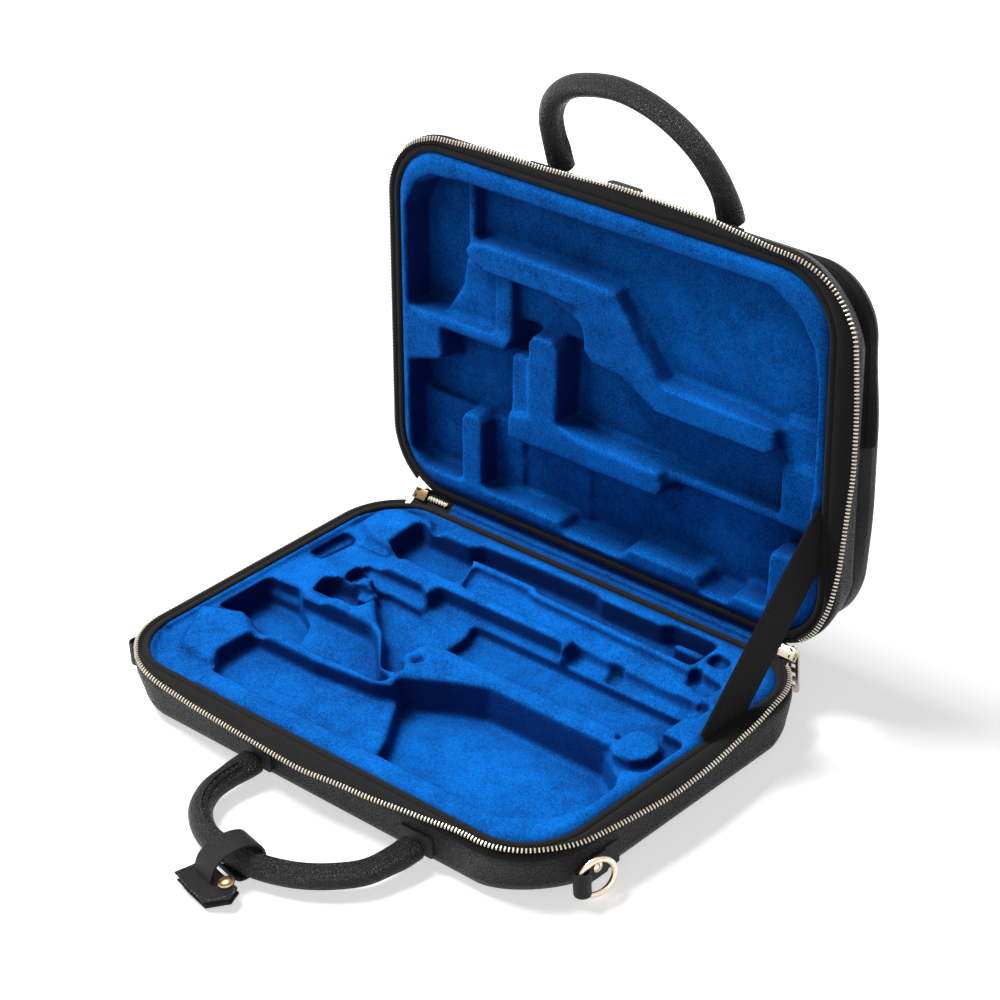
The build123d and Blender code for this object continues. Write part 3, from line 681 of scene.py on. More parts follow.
# distance outside a straight-sided outline
def outsideOf(co, outline):
    corners = np.array(outline)
    away = np.full(len(co), -1.0)
    area = np.sum(corners[:, 0] * np.roll(corners[:, 1], -1) - np.roll(corners[:, 0], -1) * corners[:, 1])
    for k in range(len(corners)):
        edge = corners[(k + 1) % len(corners)] - corners[k]
        out = np.array([edge[1], -edge[0]]) / np.hypot(*edge) * np.sign(area)
        away = np.maximum(away, (co[:, :2] - corners[k]) @ out)
    return away


# the small wells in the middle left of the base have softer walls than the rest
def softenPart(obj, co):
    x0, x1, y0, y1 = trayLook["softPart"]
    inside = (co[:, 0] > x0) & (co[:, 0] < x1) & (co[:, 1] > y0) & (co[:, 1] < y1)
    group = obj.vertex_groups.new(name="softPart")
    group.add([int(k) for k in np.nonzero(inside)[0]], 1.0, "REPLACE")
    applyModifier(obj, "SMOOTH", factor=0.5, iterations=18, vertex_group="softPart")
    obj.vertex_groups.clear()


def makeTray(side, cloth, pads):
    half = halves[side]
    obj = copyNode(side + "_tray")
    applyModifier(obj, "REMESH", mode="VOXEL", voxel_size=trayLook["voxel"])
    applyModifier(obj, "SMOOTH", factor=0.5, iterations=trayLook["softening"])
    obj.data.transform(half["frame"].inverted())
    co = points(obj)
    inset = insetOf(co)
    low, high = trayLook["padded"]
    padding = ease(co[:, 2], half["rim"] + low, half["rim"] + high)
    co[:, 2] -= trayLook["rimFall"] * (1 - ease(inset, *trayLook["rimEase"])) * padding
    if pads:
        away = np.minimum(*[outsideOf(co, outline) for outline in trayLook["pads"]])
        ledge = ease(away, 0.0, trayLook["padEase"]) * ease(-co[:, 0], *trayLook["ledgeFrom"])
        co[:, 2] -= trayLook["ledgeFall"] * ledge * ease(inset, *trayLook["ledgeInset"]) * padding
    setPoints(obj, co)
    if pads:
        softenPart(obj, co)
    smooth(obj, 180)
    finish(obj, side + "_trayVelvet", side, cloth, side + "_tray", half["frame"])
    print(side, "tray", len(obj.data.polygons))


makeTray("base", velvet, True)
makeTray("lid", lidVelvet, False)


# Leather skins with a soft tuck at the corners

skinLook = {
    "step": 0.004,
    "bottomCurve": 0.011,
    "cornerTuck": 0.0045,
    "wall": 0.0015,
    "coreInset": 0.0018,
}


# (inset, z) from the rolled rim down the wall, round the bottom's curve and onto the bottom
def skinProfile(top):
    curve = skinLook["bottomCurve"]
    profile = [(0.0022, top - 0.0002), (0.0012, top + 0.0004), (0.0002, top - 0.0003), (-0.0002, top - 0.003)]
    for share in np.linspace(0.15, 1.0, 7):
        profile.append((-0.0002 + 0.0004 * share, top - 0.003 - share * (top - 0.003 - curve)))
    profile += [(curve - x, curve - y + 0.0001) for x, y in arc(curve, np.linspace(10, 90, 9))]
    return profile + [(0.016, 0.0001), (0.023, 0.0001), (0.030, 0.0001)]


# more rings from the last one in to a line in the middle, at the given shares of the way
def fillMiddle(ring, rise, shares):
    middle = ring.copy()
    middle[:, 0] = np.clip(ring[:, 0], -0.05, 0.05)
    middle[:, 1] = ring[:, 1].mean()
    middle[:, 2] += rise
    return [ring + (middle - ring) * (share, share, math.sin(share * math.pi / 2)) for share in shares]


def makeSkin(side, ending, part, inside, material):
    half = halves[side]
    name, top = side + ending, half[part]
    path = shellPath(skinLook["step"])
    profile = [(inset + inside, inside + z * (top - inside) / top) for inset, z in skinProfile(top)]
    tuck = skinLook["cornerTuck"] * np.abs(path[:, 2] * path[:, 3]) * 2
    rings = []
    for inset, z in profile:
        ring = shellColumn(path, inset, z, half["lean"])
        ring[:, :2] -= path[:, 2:4] * (tuck * ease(top - z, 0.0, top))[:, None]
        rings.append(ring)
    obj = gridPiece(np.stack(rings + fillMiddle(rings[-1], 0.0, (0.34, 0.67, 1.0)), axis=1))
    mergeDoubles(obj, 0.00005)
    applyModifier(obj, "SOLIDIFY", thickness=skinLook["wall"], offset=-1.0)
    smooth(obj, 60)
    finish(obj, name, side, material, side + "_" + part, half["frame"])


for side in halves:
    makeSkin(side, "Leather", "cover", 0.0, leather)
for side in halves:
    makeSkin(side, "Board", "core", skinLook["coreInset"], board)
print("leather skins")


# Rim bands: a rolled outer edge, a sewn channel and a slope down to the velvet

bandLook = {
    "step": 0.004,
    "profile": [(0.0002, -0.0030), (0.0000, -0.0010), (0.0008, 0.0003), (0.0025, 0.0014), (0.0034, 0.0017),
                (0.0038, 0.0011), (0.0042, 0.0019), (0.0050, 0.0030), (0.0060, 0.0033), (0.0070, 0.0034),
                (0.0082, 0.0031), (0.0086, 0.0024), (0.0084, 0.0004), (0.0070, -0.0020)],
    "seam": (0.0038, 0.0014),
    "seamReach": 0.150,
    "pitch": 0.0030,
}


def makeBand(side):
    half = halves[side]
    path = shellPath(bandLook["step"])
    profile = bandLook["profile"] + bandLook["profile"][:1]
    columns = [shellColumn(path, inset, half["rim"] + z) for inset, z in profile]
    obj = gridPiece(np.stack(columns, axis=1), along=path[:, 4])
    mergeDoubles(obj)
    smooth(obj, 60)
    finish(obj, side + "Band", side, bandCloth, side + "_rim_band", half["frame"])
    inset, rise = bandLook["seam"]
    places = shellColumn(shellPath(bandLook["step"], bandLook["seamReach"]), inset, half["rim"] + rise)
    line = [half["frame"] @ Vector(place) for place in places]
    sewRow(side + "BandSeam", line, bandLook["pitch"], side)


for side in halves:
    makeBand(side)
print("rim bands")


# Main zip. Each place is (inset, height over the rim), for a tape that stands, that is folded outwards, and
# that lies in over the band. base and lid say how far it is folded outwards, by the distance in mm along the
# rim from the front's middle, and below 0 it lies in.

zipLook = {
    "reach": 0.145,
    "pitch": 0.0022,
    "tapeStep": 0.003,
    "tapeThick": 0.0008,
    "tapeWidth": 0.0105,
    "tooth": (0.0010, 0.0022, 0.0014),
    "toothTip": 0.0006,
    "tipTaper": (0.7, 1, 0.5),
    "toothBevel": 0.0003,
    "sewn": (0.0017, -0.0006),    # from the seam in under the band, taken twice
    "seam": ((0.0038, 0.0022), (0.0038, 0.0022), (0.0046, 0.0028)),
    "bend": ((0.0024, 0.0042), (-0.0010, 0.0026), (0.0030, 0.0040)),
    "edge": ((0.0015, 0.0035), (-0.0062, -0.0013), (0.0010, 0.0027)),
    "base": [(-332, -1), (-195, -1), (-150, 0), (-128, 0.25), (-114, 0.56), (-99, 0.64), (-84, 0.8),
             (-69, 0.83), (-39, 0.98), (-9, 1.1), (6, 1.12), (28, 0.85), (50, 0.73), (65, 0.54), (80, 0.37),
             (95, 0.22), (110, 0), (165, 0.05), (172, 0.15), (196, 0.47), (212, 0.68), (228, 0.85), (244, 1),
             (260, 0.93), (272, 0.88), (284, 0.75), (296, 0.6), (308, 0.45), (320, 0.35), (332, 0)],
    "lid": [(-345, 0), (-316, 0.58), (-275, 0.93), (-260, 1.1), (-224, 1.1), (-188, 0.9), (-160, 0.5),
            (-125, 0), (-98, 0.28), (-72, 0.56), (-31, 0.68), (-3, 0.65), (40, 0.39), (85, 0.36), (132, 0.05),
            (150, -0.3), (188, -1), (332, -1)],
}


def foldPlaces(name, out, back):
    plain, outwards, inwards = np.array(zipLook[name])
    return plain + (outwards - plain) * out[:, None] + (inwards - plain) * back[:, None]


# places across the tape at each path point, from under the band to the teeth
def tapeRows(path, rim, spread):
    where = path[-1, 4] / 2 - path[:, 4]
    fold = np.interp(where * 1000, *np.array(spread, float).T)
    fold = np.convolve(np.pad(fold, 4, mode="edge"), np.ones(9) / 9, mode="valid")
    out, back = np.clip(fold, 0, 2), np.clip(-fold, 0, 1)
    seam, bend, edge = [foldPlaces(name, out, back) for name in ("seam", "bend", "edge")]
    rows = []
    for t in np.concatenate([[-2, -1], np.linspace(0, 1, 9)]):
        place = seam * (1 - t) ** 2 + bend * 2 * t * (1 - t) + edge * t**2
        if t < 0:
            place = seam + np.array(zipLook["sewn"]) * -t
        x = path[:, 0] - path[:, 2] * place[:, 0]
        y = path[:, 1] - path[:, 3] * place[:, 0]
        rows.append(np.stack([x, y, rim + place[:, 1]], axis=1))
    return np.stack(rows, axis=1)


def makeTooth():
    clearSelection()
    bpy.ops.mesh.primitive_cube_add(size=1)
    tooth = bpy.context.active_object
    editAll(tooth)
    bpy.ops.transform.resize(value=zipLook["tooth"])
    bpy.ops.mesh.select_all(action="DESELECT")
    leaveEdit()
    for face in tooth.data.polygons:
        face.select = face.normal.y > 0.9
    bpy.ops.object.mode_set(mode="EDIT")
    bpy.ops.mesh.extrude_region_move(TRANSFORM_OT_translate={"value": (0, zipLook["toothTip"], 0)})
    bpy.ops.transform.resize(value=zipLook["tipTaper"])
    leaveEdit()
    applyModifier(tooth, "BEVEL", width=zipLook["toothBevel"], segments=1, limit_method="ANGLE")
    return tooth


def makeTape(side):
    half = halves[side]
    path = shellPath(zipLook["tapeStep"], zipLook["reach"])
    tape = gridPiece(tapeRows(path, half["rim"], zipLook[side]), along=path[:, 4])
    applyModifier(tape, "SOLIDIFY", thickness=zipLook["tapeThick"], offset=0.0)
    smooth(tape, 60)
    finish(tape, side + "ZipTape", side, tapeCloth, side + "_zip_tape", half["frame"])


def makeTeeth(side, tooth):
    half = halves[side]
    rows = tapeRows(shellPath(zipLook["pitch"], zipLook["reach"]), half["rim"], zipLook[side])
    teeth = []
    for k in range(1, len(rows) - 1):
        end = Vector(rows[k, -1])
        outward = (end - Vector(rows[k, -3])).normalized()
        forward = (Vector(rows[k + 1, -1]) - Vector(rows[k - 1, -1])).normalized()
        normal = forward.cross(outward).normalized()
        turn = Matrix((forward, normal.cross(forward), normal)).transposed().to_4x4()
        teeth.append(copyPiece(tooth, Matrix.Translation(end) @ turn))
    name = side + "ZipTeeth"
    finish(join(teeth), name, side, zipGold, side + "_zip_teeth", half["frame"])


zipTooth = makeTooth()
for side in ("lid", "base"):
    makeTape(side)
    makeTeeth(side, zipTooth)
print("main zip")


# Closed chain between each slider and the hinge

chainLook = {"from": 0.1185, "to": 0.1335, "pitch": 0.0011, "turn": math.radians(-135), "step": 0.0006}


# every second tooth is turned over, and each is drawn back from the hinge line by one step
def makeChain(side, sign):
    teeth = []
    for k, x in enumerate(np.arange(chainLook["from"], chainLook["to"], chainLook["pitch"])):
        place = Matrix.Translation((sign * x, shell["hinge"][1], shell["hinge"][2]))
        turn = Matrix.Rotation(chainLook["turn"] + math.pi * (k % 2), 4, "X")
        teeth.append(copyPiece(zipTooth, place @ turn @ Matrix.Translation((0, -chainLook["step"], 0))))
    name = side + "JoinedTeeth"
    finish(join(teeth), name, "base", zipGold, "zip_joined_teeth_" + side)


makeChain("left", -1)
makeChain("right", 1)
dropPiece(zipTooth)


# Sliders with a crown loop that holds the pull

sliderLook = {
    "edge": 0.0007,
    "pullEdge": 0.00035,
    "crown": 0.0030,
    "crownThick": 0.00072,
    "crownShift": (-0.0006, -0.0010),    # from the slider's rear face, and from its middle height
}


def makeSlider(side, metal):
    softenNode("zip_slider_" + side, "base", metal, sliderLook["edge"], 3)
    low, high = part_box("zip_slider_" + side)
    back, rise = sliderLook["crownShift"]
    place = Matrix.Translation(((low[0] + high[0]) / 2, high[1] + back, (low[2] + high[2]) / 2 + rise))
    clearSelection()
    bpy.ops.mesh.primitive_torus_add(major_radius=sliderLook["crown"], minor_radius=sliderLook["crownThick"],
                                     major_segments=28, minor_segments=10)
    crown = bpy.context.active_object
    crown.data.transform(place @ Matrix.Rotation(math.pi / 2, 4, "Y"))
    smooth(crown, 60)
    finish(crown, side + "SliderCrown", "base", metal)
    softenNode("zip_pull_" + side, "zip_pull_" + side, metal, sliderLook["pullEdge"])


# the left slider, its crown and its pull take the darker metal as painted shade
makeSlider("left", paintedShadeMetal)
makeSlider("right", zipGold)
print("sliders and pulls")


# Rolled leather handles, closed by a seam of two ridges

handleLook = {
    "radius": 0.0065,
    "sectionStep": 6,
    "count": 96,
    "flare": 0.30,                   # wider at the roots, in the arch's plane
    "flareRun": (0.004, 0.024),      # distances from an end between which the flare ends
    "ridge": 0.0009,
    "ridgeAngles": (-12, 12),
    "ridgeWidth": 8,
    "grooveWidth": 5,
    "groove": 0.0004,
    "ridgeRun": (0.004, 0.016),
    "endRound": 0.0018,
    "endRadius": 0.7,                # share of the radius that the ends close to
    "sewnFrom": 0.012,
    "sewnPitch": 0.0034,
    "baseDroop": math.radians(-2.0695),
    "lidRise": math.radians(20),
    "baseLine": [(60, -6.6), (60, 0), (60.4, 13), (58.4, 28), (48.4, 43), (28.8, 53.8), (1.5, 55.4),
                 (-12.4, 53.8), (-29.3, 47.6), (-43.5, 38), (-55.3, 24.8), (-59.6, 9), (-60, 0), (-60, -6.6)],
    "lidLine": [(-60, -8.6), (-60, 0), (-60, 14), (-57.6, 28), (-49, 42.5), (-32, 54.5), (-6, 60.8), (14, 59),
                (33, 50.6), (48, 36.6), (56.8, 20), (60, 6), (60, -8.6)],
    "seamAngle": {"base": 112, "lid": 215},
}

halfTurn = Matrix.Rotation(math.pi, 4, "Z")
baseHandleFrame = (Matrix.Translation((0.021, -0.1230, 0.011)) @ halfTurn
                   @ Matrix.Rotation(handleLook["baseDroop"], 4, "X"))
lidHandleFrame = (lidFrame @ Matrix.Translation((-0.011, -0.117413, 0.007346)) @ halfTurn
                  @ Matrix.Rotation(handleLook["lidRise"], 4, "X"))


def angleFrom(angle, middle):
    return abs((angle - middle + 180) % 360 - 180)


# the tube's section as angle and radius
def handleSection(look, seam):
    section = []
    for angle in np.arange(0, 360, look["sectionStep"]):
        radius = look["radius"]
        for ridge in look["ridgeAngles"]:
            away = angleFrom(angle, seam + ridge)
            radius += look["ridge"] * max(0.0, 1 - away / look["ridgeWidth"])
        if angleFrom(angle, seam) < look["grooveWidth"]:
            radius -= look["groove"]
        section.append((math.radians(angle), radius))
    return section


def makeHandle(side, matrix):
    look = handleLook
    name, body = side + "HandleRoll", side + "_handle"
    full = look["radius"]
    line = softLine([(x / 1000, y / 1000, 0) for x, y in look[side + "Line"]], look["count"])
    run = runAlong(line)
    section = handleSection(look, look["seamAngle"][side])
    seam = math.radians(look["seamAngle"][side])
    facing = 1 if look[side + "Line"][0][0] < 0 else -1
    rows, sewn = [], []
    for k, place in enumerate(line):
        end = min(run[k], run[-1] - run[k])
        ahead = Vector(line[min(k + 1, len(line) - 1)] - line[max(k - 1, 0)]).normalized()
        wide = 1 + look["flare"] * (1 - ease(end, *look["flareRun"]))
        outward = Vector((-ahead.y, ahead.x, 0)) * facing * wide
        low = look["endRadius"]
        close = low + (1 - low) * math.sqrt(min(1.0, end / look["endRound"]))
        plain = ease(end, *look["ridgeRun"])
        ring = []
        for angle, radius in section:
            reach = (full + (radius - full) * plain) * close
            ring.append(Vector(place) + outward * (reach * math.cos(angle))
                        + Vector((0, 0, reach * math.sin(angle))))
        rows.append(ring + ring[:1])
        if end > look["sewnFrom"]:
            reach = full - threadLook["thick"]
            sewn.append(matrix @ (Vector(place) + outward * (reach * math.cos(seam))
                                  + Vector((0, 0, reach * math.sin(seam)))))
    around = [angle * full for angle, radius in section] + [2 * math.pi * full]
    obj = gridPiece(rows, along=run, across=around)
    closeTube(obj)
    smooth(obj, 50)
    finish(obj, name, body, handleLeather, side + "_handle", matrix)
    sewRow(side + "HandleStitches", sewn, look["sewnPitch"], body)


makeHandle("base", baseHandleFrame)
makeHandle("lid", lidHandleFrame)
for side in ("base", "lid"):
    for end in ("left", "right"):
        softenNode(side + "_handle_patch_" + end, side, smoothLeather, 0.0005, 3)
print("handles")


# Luggage tag: two plates and a band that goes round the handle

tagLook = {
    "shift": (-0.0060, -0.0065, 0),
    "place": (0.011449, 0.060898, 0),
    "turn": math.radians(-11),
    "tilt": math.radians(-8),
    "loop": [(21.5, 2.0), (20.5, 4.5), (17.5, 9.0), (12.0, 11.8), (5.0, 12.2), (-2, 11.2), (-8.5, 7.5),
             (-10.8, 1.5), (-9.8, -4.0), (-6.0, -7.2), (0, -8.2), (6, -7.0), (9.5, -3.0)],
    "loopCount": 60,
    "loopHalf": [(0.0080, -0.0006), (0.0080, 0.0006), (0.0074, 0.00125), (0.0067, 0.0007)],
    "loopSeam": (0.0059, 0.0007),
    "plate": [(18, 0), (-14.4, 0), (-18, 7.2), (-9, 18), (18, 18)],
    "plateShift": (-0.0060, 0.0134),
    "plateThick": 0.0013,
    "plateEdge": 0.0005,
    "bendAlong": (0.018, 0.034),
    "bendAcross": (-0.010, 0.013),
    "seamShare": 0.86,
    "pitch": 0.0026,
    "snap": (-0.0135, 0.0158, 0.0026),
    "snapRadius": 0.0042,
    "snapRise": (0.42, 0.2),           # how flat the ball is above and below its middle
    "snapRing": (0.0040, 0.0006),
}

tagFrame = (baseHandleFrame @ Matrix.Translation(tagLook["place"]) @ Matrix.Rotation(tagLook["turn"], 4, "Z")
            @ Matrix.Rotation(tagLook["tilt"], 4, "X") @ Matrix.Translation(tagLook["shift"]))


def makeTagLoop():
    side = Vector((-1, 0, 0))
    rim = tagLook["loopHalf"]
    section = [(-across, rise) for across, rise in rim] + [(0, rim[-1][1])] + rim[::-1]
    line = softLine([(0, y / 1000, z / 1000) for y, z in tagLook["loop"]], tagLook["loopCount"])
    obj = sweepStrap(line, side, section)
    smooth(obj)
    finish(obj, "tagBand", "tag", smoothLeather, "tag_loop", tagFrame)
    across, rise = tagLook["loopSeam"]
    for sign, name in ((-1, "Left"), (1, "Right")):
        edge = []
        for k in range(2, len(line) - 2):
            out = Vector(line[k + 1] - line[k - 1]).normalized().cross(side)
            edge.append(tagFrame @ (Vector(line[k]) + out * rise - side * sign * across))
        sewRow("tagBandStitches" + name, edge, tagLook["pitch"], "tag")


# how far a plate rises at its far corners, on the left and on the right
def tagBend(co, lift):
    far = ease(co[:, 1], *tagLook["bendAlong"])
    left = ease(co[:, 0], *tagLook["bendAcross"])
    return far * (lift[0] * left + lift[1] * (1 - left))


def makeTagPlate(name, height, lift, node):
    corners = np.array(tagLook["plate"]) / 1000 + tagLook["plateShift"]
    clearSelection()
    bpy.ops.mesh.primitive_circle_add(vertices=len(corners), radius=1, fill_type="NGON")
    obj = bpy.context.active_object
    setPoints(obj, [(x, y, 0) for x, y in corners])
    editAll(obj)
    bpy.ops.mesh.extrude_region_move(TRANSFORM_OT_translate={"value": (0, 0, tagLook["plateThick"])})
    turnOutside()
    leaveEdit()
    roundEdges(obj, tagLook["plateEdge"], 3)
    editAll(obj)
    bpy.ops.mesh.quads_convert_to_tris()
    bpy.ops.mesh.subdivide(number_cuts=3)
    bpy.ops.mesh.subdivide(number_cuts=1)
    leaveEdit()
    co = points(obj)
    co[:, 2] += height + tagBend(co, lift)
    setPoints(obj, co)
    smooth(obj)
    finish(obj, name, "tag", smoothLeather, node, tagFrame)
    middle = np.mean(corners, axis=0)
    inner = middle + (corners - middle) * tagLook["seamShare"]
    edge = softLine(np.vstack([inner, inner[:1]]), 60)
    top = height + tagLook["plateThick"] + tagBend(edge, lift)
    seam = [tagFrame @ Vector((x, y, z)) for (x, y), z in zip(edge, top)]
    sewRow(name + "Stitches", seam, tagLook["pitch"], "tag")


def makeTagSnap():
    clearSelection()
    bpy.ops.mesh.primitive_uv_sphere_add(segments=28, ring_count=14, radius=tagLook["snapRadius"])
    cap = bpy.context.active_object
    co = points(cap)
    co[:, 2] *= np.where(co[:, 2] > 0, *tagLook["snapRise"])
    setPoints(cap, co)
    clearSelection()
    wide, thick = tagLook["snapRing"]
    bpy.ops.mesh.primitive_torus_add(major_radius=wide, minor_radius=thick, major_segments=32,
                                     minor_segments=8)
    snap = join([cap, bpy.context.active_object])
    smooth(snap, 60)
    # the snap takes the darker metal as painted shade in the hollow of the band
    place = tagFrame @ Matrix.Translation(tagLook["snap"])
    finish(snap, "tagSnapCap", "tag", paintedShadeMetal, "tag_snap", place)


makeTagLoop()
makeTagPlate("tagTopPlate", 0.0008, (0.0026, -0.0004), "tag_plate_upper")
makeTagPlate("tagLowPlate", -0.0026, (0.0008, -0.0014), "tag_plate_lower")
makeTagSnap()
print("luggage tag")


# Leather tabs that hold the shoulder strap's rings

tabLook = {
    "middle": (0.168534, -0.0868, 0.0125),    # of the right ring's bar
    "turn": 0.00418,                          # radius of the leather's turn round the bar
    "turnAngles": range(200, 421, 20),
    "outerRun": (0.032, 0.024, 0.016, 0.008, 0),
    "innerRun": [(-0.0012, 0.0066), (-0.0030, 0.0100), (-0.00307, 0.0150), (-0.00307, 0.0220)],
    "halfWidth": 0.007,
    "halfThick": 0.00055,
    "edge": 0.0005,
}


def makeRingTab(side, sign):
    r = tabLook["turn"]
    flat = [(-r, y) for y in tabLook["outerRun"]] + arc(r, tabLook["turnAngles"]) + tabLook["innerRun"]
    cx, cy, cz = tabLook["middle"]
    line = [(sign * (cx + x), cy + y, cz) for x, y in softLine(flat, 70)]
    w, t = tabLook["halfWidth"], tabLook["halfThick"]
    top = [(-w, -t * 0.6), (-w, t * 0.6), (-w + tabLook["edge"], t), (w - tabLook["edge"], t)]
    section = top + [(-across, -rise) for across, rise in top]
    obj = sweepStrap(line, (0, 0, 1), section)
    smooth(obj)
    finish(obj, side + "RingTab", "base", smoothLeather, "ring_tab_" + side)


makeRingTab("left", -1)
makeRingTab("right", 1)
print("ring tabs")


# Hinge strip, velvet crease and stay strap, which run from the base to the lid

# low holds (y, z) places over the base and top holds places in the lid's frame
foldLook = {
    "hingeLeather": {
        "low": [(0.1151, 0.0170), (0.1151, 0.0220), (0.1152, 0.0265), (0.1162, 0.0304), (0.1192, 0.0324),
                (0.1245, 0.03215), (0.1310, 0.0317)],
        "top": [], "count": 28, "reach": (-0.118, 0.118), "rows": 60, "thick": 0.0012,
        "start": (0, 0.1145, 0.0275), "end": (0, 0.1195, 0.0335)},
    "velvetCrease": {
        "low": [(0.1088, 0.0302), (0.1112, 0.0306), (0.1135, 0.0311), (0.1150, 0.0330)],
        "top": [(0.1135, 0.0243), (0.1112, 0.0256), (0.1092, 0.0262)],
        "count": 26, "reach": (-0.114, 0.114), "rows": 60, "thick": 0.0014, "length": 0.228,
        "start": (0, 0.111, 0.030), "end": (0, 0.1155, 0.0375)},
    "ZipLink": {
        "low": [(0.1100, 0.0296), (0.1130, 0.0300), (0.1160, 0.0318), (0.1172, 0.0340)],
        "top": [(0.1132, 0.0232), (0.1105, 0.0240)],
        "count": 20, "reach": (0.114, 0.142), "rows": 24, "thick": 0.0008, "length": 0.029,
        "start": (0, 0.1145, 0.0290), "end": (0, 0.1175, 0.0350)},
}


# a strip across the hinge line, which follows the shell's corners
def makeFold(name, look, sign, material, node=None):
    top = [lidFrame @ Vector((0, y, z)) for y, z in look["top"]]
    line = softLine(look["low"] + [(p.y, p.z) for p in top], look["count"])
    rows = []
    for x in np.linspace(*look["reach"], look["rows"]):
        fall = shell["corner"] - math.sqrt(shell["corner"]**2 - max(0.0, abs(x) - cornerX)**2)
        rows.append([(sign * x, y - fall, z) for y, z in line])
    obj = gridPiece(rows)
    thicken(obj, look["thick"])
    finish(obj, name, None, material, node)
    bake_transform(obj)


stayLook = {
    "low": (0.1545, 0.0355, 0.0293),
    "high": (0.1545, 0.1245, 0.1120),
    "past": (0.0055, 0.0065),    # how far it runs on in under the bands
    "half": 0.0140,
    "halfThick": 0.00065,
}


def makeStay():
    low, high = Vector(stayLook["low"]), Vector(stayLook["high"])
    along = (high - low).normalized()
    before, after = stayLook["past"]
    line = [low + along * s for s in np.linspace(-before, (high - low).length + after, 60)]
    half, t = stayLook["half"], stayLook["halfThick"]
    across = np.linspace(-half, half, 9)
    section = [(a, t) for a in across] + [(a, -t) for a in across[::-1]]
    obj = sweepStrap(line, (0, -along.z, along.y), section)
    smooth(obj)
    finish(obj, "stayWebbing", None, webbing, "stay_strap")
    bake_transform(obj)


makeFold("hingeLeather", foldLook["hingeLeather"], 1, smoothLeather, "hinge_strip")
makeFold("velvetCrease", foldLook["velvetCrease"], 1, velvet, "velvet_crease")
makeStay()
makeFold("leftZipLink", foldLook["ZipLink"], -1, tapeCloth)
makeFold("rightZipLink", foldLook["ZipLink"], 1, tapeCloth)
print("hinge strip, crease and stay")


# Music pocket on the lid's back: a leather panel on a gusset, with a coil zip round its front half

pocketLook = {
    "inset": 0.005,
    "fall": 0.010,           # the lid's front wall lies this far in at its face
    "deep": -0.008,          # where the panel's rounded edge starts
    "edge": 0.008,
    "crown": -0.0213,
    "bulge": 0.0034,
    "ripple": 0.0004,
    "wall": 0.0012,
    "zipTo": -0.0035,
    "gusset": [(0.0085, 0.0022), (0.0068, 0.0004), (0.0056, -0.0008), (0.0052, -0.0020), (0.0051, -0.0040),
               (0.0051, -0.0060), (0.0052, -0.0086)],
    "gussetThick": 0.0009,
    "coil": [(0.0050, -0.0019), (0.0043, -0.0022), (0.0040, -0.0033), (0.0042, -0.0040), (0.0040, -0.0047),
             (0.0043, -0.0058), (0.0050, -0.0061)],
    "coilThick": 0.0006,
}


# the shell's outline at one inset and height, with the lean's fall at the front and the bulge at the left
def pocketColumn(path, inset, z):
    bulge = pocketLook["bulge"] * ease(-path[:, 0], 0.140, 0.158)
    bulge *= 1 - ease(np.abs(path[:, 1] - 0.01), 0.02, 0.085)
    column = shellColumn(path, inset, z)
    column[:, 0] -= bulge * ease(-z, 0.001, 0.007) * (1 - ease(inset, 0.012, 0.05))
    column[:, 1] += ease(-path[:, 1], 0.0, cornerY) * pocketLook["fall"]
    return column


def makePocketPanel():
    path = shellPath(0.004)
    start, r, deep = pocketLook["inset"], pocketLook["edge"], pocketLook["deep"]
    profile = [(start + 0.0016, deep + 0.0004), (start + 0.0003, deep)]
    profile += [(start + r - x, deep - y) for x, y in arc(r, range(10, 91, 10))]
    profile += [(0.020, -0.0172), (0.030, -0.0180), (0.042, -0.0188)]
    rings = [pocketColumn(path, inset, z) for inset, z in profile]
    rings += fillMiddle(rings[-1], pocketLook["crown"] - profile[-1][1], (0.2, 0.4, 0.6, 0.8, 1.0))
    obj = gridPiece(np.stack(rings, axis=1))
    mergeDoubles(obj, 0.00005)
    co = points(obj)
    ripple = np.sin(co[:, 0] * 34 + co[:, 1] * 11) * np.sin(co[:, 1] * 41 - co[:, 0] * 9)
    co[:, 2] += pocketLook["ripple"] * ripple * ease(-co[:, 2], 0.0165, 0.0185)
    setPoints(obj, co)
    applyModifier(obj, "SOLIDIFY", thickness=pocketLook["wall"], offset=-1.0)
    smooth(obj, 50)
    finish(obj, "pocketLeather", "lid", leather, "pocket_panel", lidFrame)


# a strip round the pocket's side, along part of the outline
def makePocketStrip(name, path, part, offset, material, node, along=None):
    columns = [pocketColumn(path, inset, z) for inset, z in pocketLook[part]]
    obj = gridPiece(np.stack(columns, axis=1), along=along)
    thicken(obj, pocketLook[part + "Thick"], offset)
    return finish(obj, name, "lid", material, node, lidFrame)


makePocketPanel()
around = shellPath(0.003)
front = around[around[:, 1] < pocketLook["zipTo"]]
last = int(np.argmax(around[:, 1] < pocketLook["zipTo"]))
rear = np.vstack([around[last + len(front) - 1:-1], around[:last + 1]])
zipGusset = makePocketStrip("pocketZipGusset", front, "gusset", 0.0, nylon, "pocket_zip_gusset")
makePocketStrip("pocketPlainGusset", rear, "gusset", 0.0, smoothLeather, "pocket_plain_gusset")
makePocketStrip("pocketCoil", front, "coil", 1.0, coilNylon, "pocket_zip_coil", front[:, 4])
softenNode("pocket_slider", "pocket_slider", nylon, 0.0005)
softenNode("pocket_pull", "pocket_pull", smoothLeather, 0.0005, 3)
print("music pocket")


# Nodes that stay as they are

for node in ("strap_ring_left", "strap_ring_right", "ring_rivet_left", "ring_rivet_right"):
    paint(node, paleGold)


# Floor, lights and background

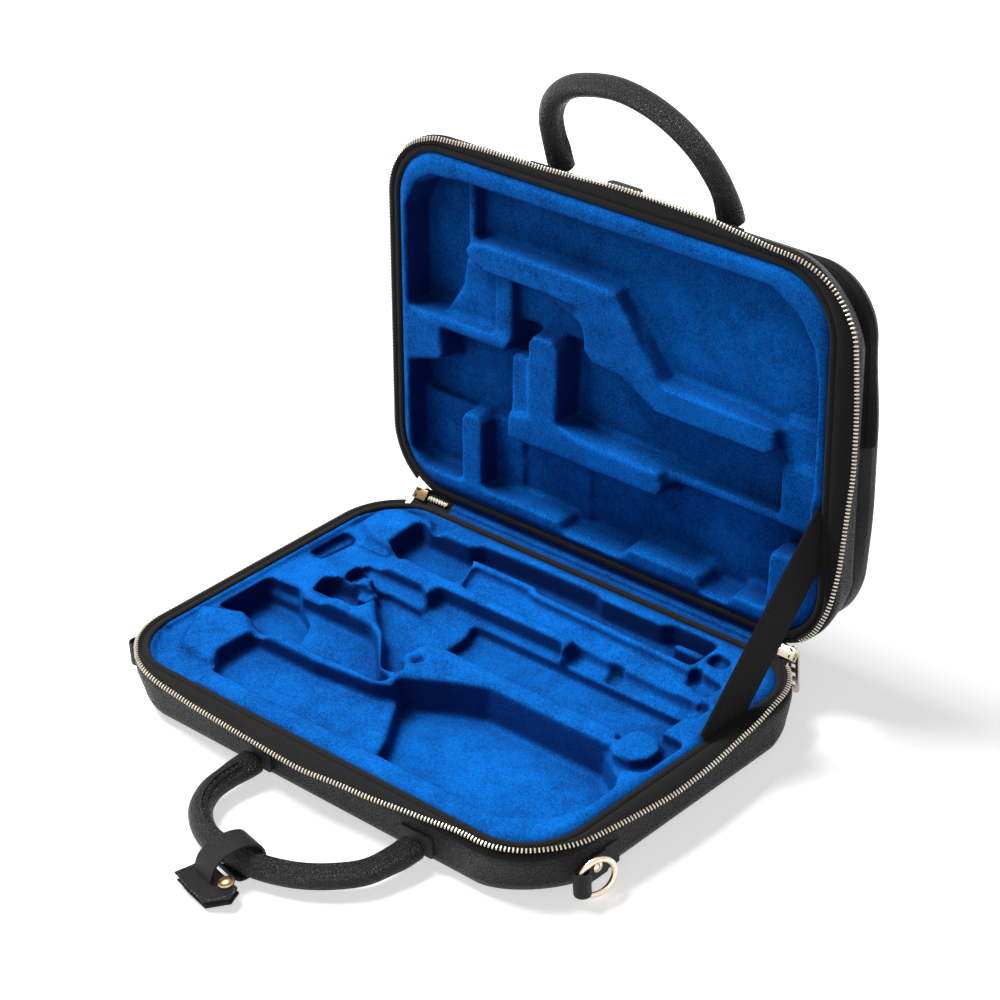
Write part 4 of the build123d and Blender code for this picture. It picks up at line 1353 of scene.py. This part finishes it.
stageLook = {
    "floorSize": 6.0,
    "floorDrop": 0.0002,
    "floor": (0.80, 0.80, 0.80, 1),
    "floorGlow": 0.60,
    "glowRise": (0.42, 1.0),    # distances from the origin between which the floor grows brighter
    "sky": 0.14,
    "lights": {
        "keyLight": {"place": (-1.0, -0.12, 1.9), "target": (0, 0.02, 0.08), "size": 0.9, "power": 60.0},
        "fillLight": {"place": (1.4, -1.6, 1.0), "target": (0, 0, 0.08), "size": 1.2, "power": 4.0},
    },
}


def makeLight(name, place, target, size, power):
    data = bpy.data.lights.new(name, "AREA")
    data.size = size
    data.energy = power
    obj = addObject(name, data)
    aim = (Vector(target) - Vector(place)).to_track_quat("-Z", "Y")
    obj.matrix_world = Matrix.Translation(place) @ aim.to_matrix().to_4x4()


def makeFloor():
    clearSelection()
    bpy.ops.mesh.primitive_grid_add(x_subdivisions=2, y_subdivisions=2, size=stageLook["floorSize"])
    floor = bpy.context.active_object
    floor.data.transform(Matrix.Translation((0, 0, -stageLook["floorDrop"])))
    material, t, shader, where = newMaterial("paleFloor")
    rays = t.add("ShaderNodeLightPath").outputs
    seen = t.math("MAXIMUM", rays["Is Camera Ray"], rays["Is Glossy Ray"])
    glow = t.range(t.vector("LENGTH", where["Object"]), *stageLook["glowRise"], stageLook["floorGlow"], 1.0)
    t.set(shader, Base_Color=stageLook["floor"], Roughness=0.9, Specular_IOR_Level=0.0,
          Emission_Color=(1, 1, 1, 1), Emission_Strength=t.times(seen, glow))
    floor.data.materials.append(material)
    floor.name = "paleFloor"


# white to the camera and in reflections, dim as a light
def makeSky():
    world = bpy.data.worlds.new("studio")
    bpy.context.scene.world = world
    world.use_nodes = True
    t = Tree(world.node_tree)
    rays = t.add("ShaderNodeLightPath").outputs
    seen = t.math("MAXIMUM", rays["Is Camera Ray"],
                  t.math("MAXIMUM", rays["Is Glossy Ray"], rays["Is Transmission Ray"]))
    t.set(world.node_tree.nodes["Background"], Color=(1, 1, 1, 1),
          Strength=t.range(seen, 0.0, 1.0, stageLook["sky"], 1.0, "LINEAR"))


makeFloor()
makeSky()
for name, light in stageLook["lights"].items():
    makeLight(name, **light)
print("stage and lights")

bpy.context.scene.view_settings.view_transform = "Standard"
